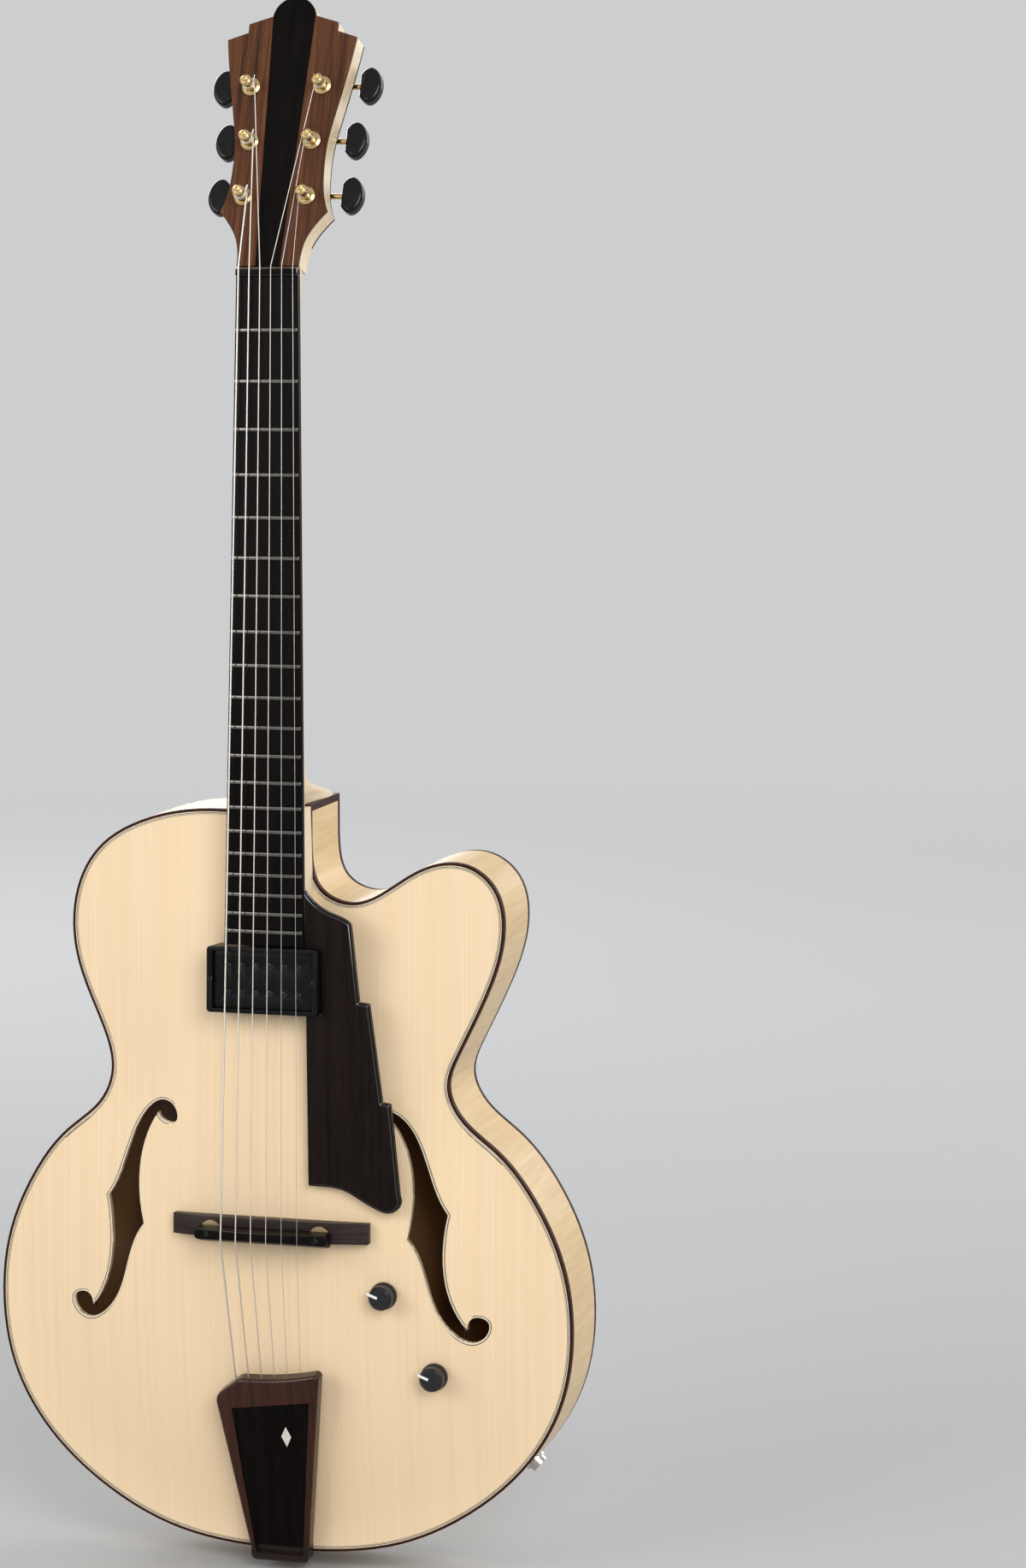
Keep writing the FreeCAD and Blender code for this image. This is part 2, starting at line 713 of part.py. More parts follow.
def make_heel():
    end_depth = RIM_DEPTH - HEEL_BACK_INSET + HEEL_END * math.sin(math.radians(NECK_ANGLE))
    sections = []
    for along, gain, squareness in HEEL_SHARES:
        place = HEEL_START + HEEL_LENGTH * along
        depth = NECK_DEPTH_AT_HEEL + (end_depth - NECK_DEPTH_AT_HEEL) * gain
        width = shaft_width(HEEL_START) + (CUTAWAY_WALL - shaft_width(HEEL_START)) * along
        sections.append(neck_section(place, width, depth, squareness))
    return Part.makeLoft(sections, True, False)


def make_board_tongue():
    """The part of the neck that carries the board over the top."""
    end = BOARD_LENGTH - TONGUE_END
    start = HEEL_END - HEEL_PLATE
    points = []
    for place, side in ((start, -1), (end, -1), (end, 1), (start, 1)):
        points.append(V(side * (board_half_width(place) - TONGUE_INSET), 0, -place))
    block = plate(polyline(points + points[:1]), BOARD_THICKNESS + GLUE_LINE, RIM_DEPTH)
    return placed(block, NECK).cut(ABOVE_TOP).cut(body_room())


def body_room():
    """The room below the heel that the body and the heel plate take."""
    roof = BODY_TOP + HEEL_PLATE + GLUE_LINE
    return box(V(-LOWER_BOUT, 0, BODY_END), V(LOWER_BOUT, LOWER_BOUT, roof))


def head_place(share, side):
    return V(side * share[0] * HEAD_WIDTH / 2, 0, share[1] * HEAD_LENGTH)


def head_side(side):
    """One edge of the head from the nut up to the crown."""
    rise = [head_place(share, side) for share in HEAD_SHARES]
    tip = head_place(HEAD_TIP_SHARE, side)
    flank = [head_place(share, side) for share in HEAD_SIDE_SHARES]
    corner = head_place(HEAD_CORNER_SHARE, side)
    steps = [head_place(share, side) for share in HEAD_STEP_SHARES]
    stripe = V(side * STRIPE_TOP_WIDTH / 2, 0, HEAD_LENGTH)
    edges = [smooth_edge(rise + [tip]), smooth_edge([tip] + flank + [corner])]
    return edges + polyline([corner] + steps + [stripe])


def crown_edge():
    half = STRIPE_TOP_WIDTH / 2
    crown = V(0, 0, HEAD_LENGTH + CROWN_RISE)
    return Part.Arc(V(-half, 0, HEAD_LENGTH), crown, V(half, 0, HEAD_LENGTH)).toShape()


def head_foot(side):
    return head_place(HEAD_SHARES[0], side)


def head_edges():
    return head_side(-1) + head_side(1) + [crown_edge(), straight(head_foot(-1), head_foot(1))]


def stripe_edges(gap):
    nut = STRIPE_NUT_WIDTH / 2 - gap
    top = STRIPE_TOP_WIDTH / 2 - gap
    foot = head_foot(1).z
    arc = Part.Arc(V(-top, 0, HEAD_LENGTH), V(0, 0, HEAD_LENGTH + CROWN_RISE), V(top, 0, HEAD_LENGTH))
    side = [V(-top, 0, HEAD_LENGTH), V(-nut, 0, foot), V(nut, 0, foot), V(top, 0, HEAD_LENGTH)]
    return polyline(side) + [arc.toShape()]


def headplate_edges(side):
    """One rosewood half of the front veneer, from the stripe to the edge."""
    inner = STRIPE_NUT_WIDTH / 2 + GLUE_LINE
    top = STRIPE_TOP_WIDTH / 2
    foot = V(side * inner, 0, head_foot(side).z)
    return head_side(side) + polyline([V(side * top, 0, HEAD_LENGTH), foot, head_foot(side)])


def post_places():
    """Post places on the head from the bass string to the treble, with the side they stand on."""
    rows = list(zip(POST_ROWS, POST_SPREADS))
    bass = [(-1, V(-spread / 2, 0, row)) for row, spread in rows[::-1]]
    treble = [(1, V(spread / 2, 0, row)) for row, spread in rows]
    return bass + treble


def post_rods(radius, front, back):
    return [rod(radius, place + BACKWARD * front, place + BACKWARD * back) for _, place in post_places()]


def head_wood(edges, front, back, radius):
    """A layer of the head with holes for the posts."""
    wood = plate(edges, front, back)
    return placed(wood.cut(fused_cutters(post_rods(radius, -OVERRUN, HEAD_THICKNESS + OVERRUN))), HEAD)


def make_headplate():
    front = -HEADPLATE
    return [head_wood(headplate_edges(side), front, 0, BUSHING_RADIUS + GLUE_LINE) for side in (-1, 1)]


def make_headplate_stripe():
    return head_wood(stripe_edges(0), -HEADPLATE, 0, BUSHING_RADIUS + GLUE_LINE)


def tongue_outline():
    """The outline of the back veneer on the neck, a tapering tongue with a round tip."""
    points = [V(share * TONGUE_WIDTH, 0, NECK_TOP - along * TONGUE_LENGTH) for share, along in TONGUE_SHARES]
    tip = V(0, 0, NECK_TOP - TONGUE_LENGTH)
    left = [V(-p.x, 0, p.z) for p in points]
    side = smooth_edge(points + [tip] + left[::-1])
    return [side, straight(left[0], points[0])]


def make_backplate_tongue(skin):
    """The veneer let into the round back of the neck, thinner by skin."""
    shell = make_shaft(0).cut(make_shaft(BACKPLATE + skin))
    veneer = shell.common(plate(tongue_outline(), BOARD_THICKNESS, NECK_DEPTH_AT_HEEL + OVERRUN))
    return placed(veneer, NECK)


def cheeks(gap):
    """The room of the bare maple on both sides of the back veneer's root, grown by a gap."""
    both = []
    for side in (-1, 1):
        curve = [V(side * (across * HEAD_WIDTH / 2 - gap), 0, along * HEAD_LENGTH)
                 for across, along in CHEEK_SHARES]
        outside = [V(side * HEAD_WIDTH, 0, spot.z) for spot in (curve[-1], curve[0])]
        both.append(plate([smooth_edge(curve)] + polyline([curve[-1]] + outside + [curve[0]]),
                          HEAD_THICKNESS - BACKPLATE - GLUE_LINE, HEAD_THICKNESS))
    return both


def make_headstock_backplate():
    flat = plate(head_edges(), HEAD_THICKNESS - BACKPLATE, HEAD_THICKNESS)
    for room in cheeks(GLUE_LINE):
        flat = flat.cut(room)
    flat = flat.cut(fused_cutters(post_rods(POST_RADIUS + FREE_GAP, -OVERRUN, HEAD_THICKNESS + OVERRUN)))
    flat = placed(flat, HEAD).cut(neck_clear())
    tongue = make_backplate_tongue(0).cut(head_depth(-BACKPLATE - GLUE_LINE))
    return [max(flat.Solids, key=lambda s: s.Volume), max(tongue.Solids, key=lambda s: s.Volume)]


def neck_clear():
    """The neck's shaft grown by a glue line, to trim the flat veneer."""
    return placed(make_shaft(-GLUE_LINE), NECK)


def head_depth(offset):
    """The head's core between its front and a depth measured from its back."""
    size = HEAD_LENGTH + OVERRUN
    slab = box(V(-HEAD_WIDTH, 0, -size), V(HEAD_WIDTH, HEAD_THICKNESS + offset, size))
    return placed(slab, HEAD)


def truss_rod(radius, start, end):
    depth = BOARD_THICKNESS + ROD_COVER + ROD_RADIUS
    return placed(rod(radius, V(0, depth, -end), V(0, depth, -start)), NECK)


def make_truss_rod():
    return truss_rod(ROD_RADIUS, ROD_END, BOARD_LENGTH - TONGUE_END - ROD_END)


def head_core():
    core = plate(head_edges(), 0, HEAD_THICKNESS - BACKPLATE - GLUE_LINE)
    back = plate(head_edges(), HEAD_THICKNESS - BACKPLATE - GLUE_LINE, HEAD_THICKNESS)
    core = fused([core] + [back.common(room) for room in cheeks(0)])
    fronts = post_rods(BUSHING_RADIUS + GLUE_LINE, -OVERRUN, BUSHING_DEPTH + GLUE_LINE)
    holes = post_rods(POST_RADIUS + FREE_GAP, -OVERRUN, HEAD_THICKNESS + OVERRUN)
    return placed(core.cut(fused_cutters(fronts + holes)), HEAD)


def in_front_of_head():
    """The space in front of the head above the nut."""
    size = HEAD_LENGTH + OVERRUN
    return placed(box(V(-HEAD_WIDTH, -size, 0), V(HEAD_WIDTH, 0, size)), HEAD)


def make_neck():
    shaft = placed(make_shaft(0), NECK).cut(in_front_of_head())
    veneer = make_backplate_tongue(GLUE_LINE)
    shaft = shaft.cut(veneer)
    heel = placed(make_heel(), NECK).cut(body_room())
    neck = fused([shaft, heel, make_board_tongue(), head_core().cut(veneer)])
    rod_room = truss_rod(ROD_RADIUS + GLUE_LINE, ROD_END - GLUE_LINE, BOARD_LENGTH - TONGUE_END - ROD_END)
    return neck.cut(rod_room)


def make_heel_plate():
    low = V(-CUTAWAY_WALL, 0, BODY_TOP + GLUE_LINE)
    blank = box(low, V(CUTAWAY_WALL, RIM_DEPTH, BODY_TOP + HEEL_PLATE - GLUE_LINE))
    corner = V(-CUTAWAY_WALL, RIM_DEPTH, blank.CenterOfMass.z)
    return blank.makeFillet(HEEL_PLATE_ROUND, edges_at(blank, corner))


def make_fingerboard():
    points = []
    for place, side in ((0, -1), (BOARD_LENGTH, -1), (BOARD_LENGTH, 1), (0, 1)):
        points.append(V(side * board_half_width(place), 0, -place))
    blank = plate(polyline(points + points[:1]), -FRET_HEIGHT, BOARD_THICKNESS)
    return placed(blank.common(crown_rod(0, OVERRUN, -BOARD_LENGTH - OVERRUN)), NECK)


def make_frets():
    frets = []
    for number in range(1, FRET_COUNT + 1):
        place = SCALE_LENGTH * (1 - 2 ** (-number / 12))
        half = board_half_width(place) - FRET_END_INSET
        low = V(-half, -FRET_HEIGHT, -place - FRET_WIDTH / 2)
        bar = box(low, V(half, BOARD_THICKNESS / 2, -place + FRET_WIDTH / 2))
        bar = bar.common(crown_rod(FRET_HEIGHT, 0, -BOARD_LENGTH))
        frets.append(placed(bar.cut(crown_rod(GLUE_LINE / 2, 0, -BOARD_LENGTH)), NECK))
    return frets


def make_nut():
    half = NUT_WIDTH / 2
    blank = box(V(-half, -NUT_HEIGHT, GLUE_LINE), V(half, BOARD_THICKNESS, NUT_LENGTH))
    nut = placed(blank.common(crown_rod(NUT_HEIGHT, OVERRUN, -OVERRUN)), NECK)
    size = HEAD_LENGTH
    low = V(-HEAD_WIDTH, -HEADPLATE - GLUE_LINE, head_foot(1).z - GLUE_LINE)
    clear = box(low, V(HEAD_WIDTH, size, size))
    return nut.cut(placed(clear, HEAD))


# Tuning machines, in the head's own frame

def make_bushing(place):
    body = rod(BUSHING_RADIUS, place - BACKWARD * HEADPLATE, place + BACKWARD * BUSHING_DEPTH)
    face = place - BACKWARD * (HEADPLATE + GLUE_LINE)
    flange = turned(((0, 0), (BUSHING_FLANGE_RADIUS, 0), (BUSHING_FLANGE_RADIUS, BUSHING_FLANGE / 2),
                     (BUSHING_RADIUS, BUSHING_FLANGE), (0, BUSHING_FLANGE)), face, -BACKWARD)
    neck = rod(BUSHING_RADIUS, face, place)
    bore = drill(POST_RADIUS + RUNNING_GAP, place, BACKWARD)
    return placed(fused([body, neck, flange]).cut(bore), HEAD)


def make_post(place):
    """A string post with a waisted head in front and a toothed wheel inside its housing."""
    top = HEADPLATE + POST_STANDOUT
    waist = top - POST_CAP_SHARE * POST_STANDOUT
    profile = ((0, -HEAD_THICKNESS - POST_BACK), (POST_RADIUS, -HEAD_THICKNESS - POST_BACK),
               (POST_RADIUS, waist - POST_RADIUS), (POST_WAIST_RADIUS, waist),
               (POST_CAP_RADIUS, top - POST_RADIUS / 2),
               (POST_CAP_RADIUS, top - POST_RADIUS / 4), (POST_RADIUS, top), (0, top))
    post = turned(profile, place, -BACKWARD)
    back = place + BACKWARD * (HEAD_THICKNESS + FREE_GAP)
    wheel = rod(GEAR_RADIUS, back, back + BACKWARD * GEAR_THICKNESS)
    teeth = []
    for tooth in range(GEAR_TEETH):
        angle = 2 * math.pi * tooth / GEAR_TEETH
        root = V(math.cos(angle), 0, math.sin(angle)) * (GEAR_RADIUS + GEAR_TOOTH / 4)
        teeth.append(rod(GEAR_TOOTH, back + root, back + root + BACKWARD * GEAR_THICKNESS))
    hole = rod(POST_WAIST_RADIUS / 3, place - BACKWARD * waist - ACROSS * OVERRUN,
               place - BACKWARD * waist + ACROSS * OVERRUN)
    return placed(fused([post, wheel.cut(fused_cutters(teeth))]).cut(hole), HEAD)


def worm_centre(place):
    return place + BACKWARD * (HEAD_THICKNESS + WORM_DEPTH) + UPWARD * WORM_OFFSET


def button_inner(side, place):
    return side * (BUTTON_SPREADS[POST_ROWS.index(place.z)] - BUTTON_WIDTH) / 2


def make_worm(side, place):
    """A worm on its shaft, which runs out to the button."""
    centre = worm_centre(place)
    worm = rod(WORM_RADIUS, centre - ACROSS * (WORM_LENGTH / 2), centre + ACROSS * (WORM_LENGTH / 2))
    end = V(button_inner(side, place) + side * BUTTON_SOCKET, centre.y, centre.z)
    return placed(fused([worm, rod(SHAFT_RADIUS, centre, end)]), HEAD)


def make_button(side, place):
    """An oval button, flatter on the inner side, with its edges rounded."""
    centre = worm_centre(place)
    inner = button_inner(side, place)
    half = BUTTON_HEIGHT / 2
    shoulder = BUTTON_SHOULDER_SHARE * half
    points = [V(inner, 0, centre.z + shoulder), V(inner + side * BUTTON_WIDTH / 2, 0, centre.z + half),
              V(inner + side * BUTTON_WIDTH, 0, centre.z),
              V(inner + side * BUTTON_WIDTH / 2, 0, centre.z - half),
              V(inner, 0, centre.z - shoulder)]
    edges = [smooth_edge(points), straight(points[-1], points[0])]
    blank = plate(edges, centre.y - BUTTON_THICKNESS / 2, centre.y + BUTTON_THICKNESS / 2)
    start = V(inner - side * BUTTON_EDGE, centre.y, centre.z)
    end = V(inner + side * (BUTTON_SOCKET + GLUE_LINE), centre.y, centre.z)
    blank = blank.cut(rod(SHAFT_RADIUS + GLUE_LINE / 2, start, end))
    rims = [edge for edge in blank.Edges if abs(edge.CenterOfMass.y - centre.y) > BUTTON_THICKNESS / 4]
    return placed(blank.makeFillet(BUTTON_EDGE, rims), HEAD)


def make_housing(side, place):
    """A closed cover over the worm and wheel, with an ear for its screw."""
    centre = worm_centre(place)
    back = HEAD_THICKNESS + GLUE_LINE
    deep = back + HOUSING_DEPTH
    cup = GEAR_RADIUS + FREE_GAP
    cover = rod(cup + HOUSING_WALL, place + BACKWARD * back, place + BACKWARD * deep)
    reach = WORM_LENGTH / 2 + FREE_GAP
    tall = WORM_RADIUS + FREE_GAP
    low = V(place.x - reach - HOUSING_WALL, back, centre.z - WORM_OFFSET)
    case = box(low, V(place.x + reach + HOUSING_WALL, deep, centre.z + tall + HOUSING_WALL))
    ear_place = place + V(-side * EAR_OFFSET, back, -EAR_DROP)
    ear = rod(EAR_RADIUS, ear_place, ear_place + BACKWARD * EAR_THICKNESS)
    link_low = V(min(ear_place.x, place.x), back, ear_place.z - EAR_RADIUS / 2)
    link = box(link_low, V(max(ear_place.x, place.x), back + EAR_THICKNESS, ear_place.z + EAR_RADIUS / 2))
    solid = fused([cover, case, ear, link])
    wheel_room = rod(cup, place, place + BACKWARD * (HEAD_THICKNESS + POST_BACK + FREE_GAP))
    worm_room = rod(tall, centre - ACROSS * reach, centre + ACROSS * reach)
    shaft_hole = rod(SHAFT_RADIUS + RUNNING_GAP, centre, centre + ACROSS * (side * OVERRUN))
    screw_hole = drill(SCREW_RADIUS + GLUE_LINE, ear_place, BACKWARD)
    for hollow in (wheel_room, worm_room, shaft_hole, screw_hole):
        solid = solid.cut(hollow)
    return placed(solid, HEAD)


def screw_place(side, place):
    return place + V(-side * EAR_OFFSET, HEAD_THICKNESS + GLUE_LINE + EAR_THICKNESS + GLUE_LINE, -EAR_DROP)


def make_screw(side, place):
    """A small domed screw through a housing's ear."""
    head = screw_place(side, place)
    profile = ((0, -SCREW_LENGTH), (SCREW_RADIUS, -SCREW_LENGTH), (SCREW_RADIUS, 0), (SCREW_HEAD_RADIUS, 0),
               (SCREW_HEAD_RADIUS * 0.9, SCREW_HEAD / 2), (SCREW_HEAD_RADIUS / 2, SCREW_HEAD),
               (0, SCREW_HEAD))
    return placed(turned(profile, head, BACKWARD), HEAD)


def screw_holes():
    """Holes in the head for the housing screws."""
    holes = []
    for side, place in post_places():
        head = screw_place(side, place)
        tip = head - BACKWARD * (SCREW_LENGTH + GLUE_LINE)
        holes.append(placed(rod(SCREW_RADIUS + GLUE_LINE, tip, head), HEAD))
    return fused_cutters(holes)


# Strings

def biarc(start, start_way, end, end_way):
    """Two arcs that join two points along given directions."""
    across = end - start
    ways = start_way + end_way
    bend = 2 * (1 - start_way.dot(end_way))
    reach = (math.sqrt(across.dot(ways) ** 2 + bend * across.dot(across)) - across.dot(ways)) / bend
    first = start + start_way * reach
    second = end - end_way * reach
    middle = (first + second) * 0.5
    return [tangent_arc(start, first, middle), tangent_arc(middle, second, end)]


def tangent_arc(start, corner, end):
    """The arc from start to end that touches both legs to their corner."""
    chord = (start + end) * 0.5
    half = (end - start).Length / 2
    height = (corner - chord).Length
    leg = (corner - start).Length
    top = chord + (corner - chord) * (half * (leg - half) / height ** 2)
    return Part.Arc(start, top, end).toShape()


def bent_path(points, radius):
    """Straight runs through the points, each corner rounded by a tangent arc."""
    edges = []
    last = points[0]
    for before, corner, after in zip(points, points[1:], points[2:]):
        way_in = (corner - before).normalize()
        way_out = (after - corner).normalize()
        setback = radius * math.tan(way_in.getAngle(way_out) / 2)
        start = corner - way_in * setback
        end = corner + way_out * setback
        edges.append(straight(last, start))
        edges.append(tangent_arc(start, corner, end))
        last = end
    edges.append(straight(last, points[-1]))
    return edges


def string_nut_point(index):
    x = string_x(index, NUT_SPREAD)
    lift = NUT_HEIGHT - crown_drop(x) + STRING_DIAMETERS[index] / 2 + GLUE_LINE
    return NECK.multVec(V(x, -lift, NUT_LENGTH + STRING_BREAK))


def string_saddle_point(index):
    x = string_x(index, BRIDGE_SPREAD)
    lift = SADDLE_HEIGHT - crown_drop(x) + STRING_DIAMETERS[index] / 2 + REST_GAP
    return NECK.multVec(V(x, -lift, -SADDLE_PLACE - SADDLE_RIDGE / 2 - STRING_BREAK))


def string_tail_points(index):
    x = string_x(index, TAIL_SPREAD)
    entry = TAIL.multVec(V(x, TAIL_THICKNESS / 2, 0))
    run = (entry - string_saddle_point(index)).normalize()
    return entry, entry + run * STRING_ANCHOR


def wrap_stations(index):
    """Points and directions of the string's turns round its post, a quarter turn apart."""
    side, place = post_places()[index]
    size = STRING_DIAMETERS[index]
    radius = POST_RADIUS + FREE_GAP + size / 2
    pitch = size + WRAP_AIR
    nut = HEAD.inverse().multVec(string_nut_point(index))
    out = nut - place
    tangent = math.acos(radius / math.hypot(out.x, out.z))
    start = math.atan2(out.z, out.x) - side * tangent
    height = HEADPLATE + WRAP_START + size / 2
    stations = []
    for quarter in range(4 * WRAP_TURNS + 1):
        angle = start - side * math.pi / 2 * quarter
        spot = place + V(radius * math.cos(angle), -height - pitch * quarter / 4, radius * math.sin(angle))
        way = V(side * math.sin(angle) * radius, -pitch / (2 * math.pi), -side * math.cos(angle) * radius)
        stations.append((HEAD.multVec(spot), HEAD.Rotation.multVec(way.normalize())))
    return stations


def string_path(index):
    """A string's centre line from the tailpiece over the saddle and nut to its post."""
    stations = wrap_stations(index)
    entry, anchor = string_tail_points(index)
    first = stations[0][0]
    corners = [anchor, string_saddle_point(index), string_nut_point(index), first]
    edges = bent_path(corners, STRING_BEND_RADIUS)
    way = (first - string_nut_point(index)).normalize()
    last = first
    for place, leave in stations[1:]:
        edges += biarc(last, way, place, leave)
        last = place
        way = leave
    edges.append(straight(last, last + way * STRING_TAIL))
    return Part.Wire(edges)


def least_gap(path, size, turn_length):
    """The least air between two turns of a wrapped string, measured on points along it."""
    total = path.Length
    wrapped = turn_length * (WRAP_TURNS + 0.5) + STRING_TAIL
    points = path.discretize(Distance=size / 2)
    spacing = total / (len(points) - 1)
    points = points[-int(wrapped / spacing):]
    apart = int(turn_length / spacing / 2)
    gaps = [(a - b).Length for i, a in enumerate(points) for b in points[i + apart:]]
    return min(gaps) - size


def make_string(index):
    size = STRING_DIAMETERS[index]
    path = string_path(index)
    first = path.Edges[0]
    way = first.tangentAt(first.FirstParameter)
    start = first.valueAt(first.FirstParameter)
    circle = Part.Wire(Part.makeCircle(size / 2, start, way))
    sweep = Part.BRepOffsetAPI.MakePipeShell(path)
    sweep.add(circle)
    sweep.build()
    sweep.makeSolid()
    solid = sweep.shape()
    turn_length = 2 * math.pi * (POST_RADIUS + FREE_GAP + size / 2)
    ratio = solid.Volume / (math.pi * size ** 2 / 4 * path.Length)
    print("string", index + 1, "least gap to itself", round(least_gap(path, size, turn_length), 3),
          "volume over section times length", round(ratio, 4))
    return solid


# Bridge, in the neck's frame

SADDLE_BASE = SADDLE_BODY - SADDLE_HEIGHT
WHEEL_TOP = SADDLE_BASE + GLUE_LINE / 2
WHEEL_BASE = WHEEL_TOP + WHEEL_THICKNESS
BASE_TOP = WHEEL_BASE + LIFT_TRAVEL + FREE_GAP


def stud_places():
    return [V(side * STUD_SPREAD / 2, 0, STUD_FORWARD - SADDLE_PLACE) for side in (-1, 1)]


def make_saddle():
    """The notched upper half of the bridge, tapered to the ridge that carries the strings."""
    half = SADDLE_LENGTH / 2
    z = -SADDLE_PLACE
    foot = z - SADDLE_RIDGE_FORWARD
    side = [V(-half, SADDLE_BASE, foot - SADDLE_WIDTH / 2), V(-half, SADDLE_BASE, foot + SADDLE_WIDTH / 2),
            V(-half, -SADDLE_HEIGHT, z + SADDLE_RIDGE / 2), V(-half, -SADDLE_HEIGHT, z - SADDLE_RIDGE / 2)]
    blank = Part.Face(Part.makePolygon(side + side[:1])).extrude(ACROSS * SADDLE_LENGTH)
    ends = [edge for edge in blank.Edges
            if abs(edge.CenterOfMass.y + SADDLE_HEIGHT) < REST_GAP
            and abs(edge.CenterOfMass.x) > half - REST_GAP]
    saddle = blank.makeFillet(SADDLE_END_RADIUS, ends)
    saddle = saddle.common(crown_rod(SADDLE_HEIGHT, z + OVERRUN, z - OVERRUN))
    for place in stud_places():
        top = -SADDLE_HEIGHT + STUD_TOP_COVER
        bore = rod(STUD_RADIUS + RUNNING_GAP, place + BACKWARD * top, place + BACKWARD * OVERRUN)
        saddle = saddle.cut(bore)
    return placed(saddle, NECK)


def make_thumbwheel(place):
    """A brass disc with a notched edge, bored for the stud."""
    wheel = sleeve(WHEEL_RADIUS, STUD_RADIUS + RUNNING_GAP, place + BACKWARD * WHEEL_TOP,
                   place + BACKWARD * WHEEL_BASE)
    notches = []
    for notch in range(WHEEL_NOTCHES):
        angle = 2 * math.pi * notch / WHEEL_NOTCHES
        spot = place + V(math.cos(angle), 0, math.sin(angle)) * WHEEL_RADIUS
        notches.append(rod(WHEEL_NOTCH_RADIUS, spot, spot + BACKWARD * OVERRUN))
    return placed(wheel.cut(fused_cutters(notches)), NECK)


def make_studs():
    top = STUD_TOP_COVER + LIFT_TRAVEL + FREE_GAP - SADDLE_HEIGHT
    return [placed(rod(STUD_RADIUS, place + BACKWARD * top, place + BACKWARD * (BASE_TOP + STUD_SINK)), NECK)
            for place in stud_places()]


def make_bridge_base():
    """The foot of the bridge, deepest in the middle and cut to the arch."""
    half = BRIDGE_LENGTH / 2
    middle = STUD_SPREAD / 2 + WHEEL_RADIUS + FREE_GAP
    z = -BRIDGE_PLACE - BRIDGE_WIDTH / 2
    ends = [bridge_end_depth(side) - BRIDGE_END_HEIGHT for side in (-1, 1)]
    outline = [V(-half, OVERRUN + RIM_DEPTH, z), V(-half, ends[0], z), V(-middle, BASE_TOP, z),
               V(middle, BASE_TOP, z), V(half, ends[1], z), V(half, OVERRUN + RIM_DEPTH, z)]
    blank = Part.Face(Part.makePolygon(outline + outline[:1])).extrude(UPWARD * BRIDGE_WIDTH)
    for place in stud_places():
        deep = BASE_TOP + STUD_SINK + GLUE_LINE
        blank = blank.cut(rod(STUD_RADIUS + GLUE_LINE / 2, place, place + BACKWARD * deep))
    return placed(blank, NECK).cut(ABOVE_TOP)


def bridge_end_depth(side):
    """How far behind the string plane the top lies under one end of the bridge."""
    x = side * BRIDGE_LENGTH / 2
    lean = math.radians(NECK_ANGLE)
    surface = V(0, -TOP_RISE * arch_share(x, BRIDGE_Z), BRIDGE_Z)
    return surface.y * math.cos(lean) - surface.z * math.sin(lean)


# Tailpiece, in its own leaning frame

def tail_half_width(drop):
    return (TAIL_TOP_WIDTH + (TAIL_FOOT_WIDTH - TAIL_TOP_WIDTH) * drop / TAIL_SLOPE_LENGTH) / 2


TAIL_SLOPE_LENGTH = math.hypot(TAIL_LENGTH, TAIL_TOP_STANDOFF - TAIL_FOOT_STANDOFF)


def tail_bass_edge(drop):
    return -tail_half_width(drop) - TAIL_BASS_GAIN * (1 - drop / TAIL_SLOPE_LENGTH)


def tail_blank():
    """The body of the tailpiece: bass corner cut off, top edge hollow, treble corner drawn up to a tip."""
    top = tail_half_width(0)
    foot = tail_half_width(TAIL_SLOPE_LENGTH)
    cut = [V(tail_bass_edge(TAIL_CUT), 0, -TAIL_CUT),
           V(TAIL_CUT_SHARE * top, 0, TAIL_DIP_SHARES[0] * TAIL_TIP)]
    middle = V(TAIL_DIP_SHARES[1] * top, 0, TAIL_DIP_SHARES[2] * TAIL_TIP)
    tip = V(tail_half_width(-TAIL_TIP), 0, TAIL_TIP)
    low = [V(foot, 0, -TAIL_SLOPE_LENGTH), V(-foot, 0, -TAIL_SLOPE_LENGTH)]
    edges = polyline([tip] + low + cut) + [Part.Arc(cut[1], middle, tip).toShape()]
    blank = plate(edges, 0, TAIL_THICKNESS)
    half = BACKWARD * (TAIL_THICKNESS / 2)
    blank = blank.makeFillet(TAIL_CUT_ROUND, edges_at(blank, cut[0] + half) + edges_at(blank, cut[1] + half))
    blank = blank.makeFillet(TAIL_TIP_ROUND, edges_at(blank, tip + half))
    front = [edge for edge in blank.Edges if edge.BoundBox.YMax < REST_GAP
             and edge.BoundBox.ZMax > REST_GAP - TAIL_SLOPE_LENGTH]
    return blank.makeFillet(TAIL_EDGE_ROUND, front)


def inlay_edges(gap):
    left = tail_half_width(TAIL_BAND) - TAIL_BORDER - gap
    right = tail_half_width(TAIL_BAND) - TAIL_TREBLE_BORDER - gap
    foot = tail_half_width(TAIL_SLOPE_LENGTH) - TAIL_FOOT_BORDER - gap
    low = -TAIL_SLOPE_LENGTH
    points = [V(-left, 0, -TAIL_BAND - TAIL_TIP - gap), V(right, 0, TAIL_TIP - TAIL_BAND - gap),
              V(foot, 0, low), V(-foot, 0, low)]
    return polyline(points + points[:1])


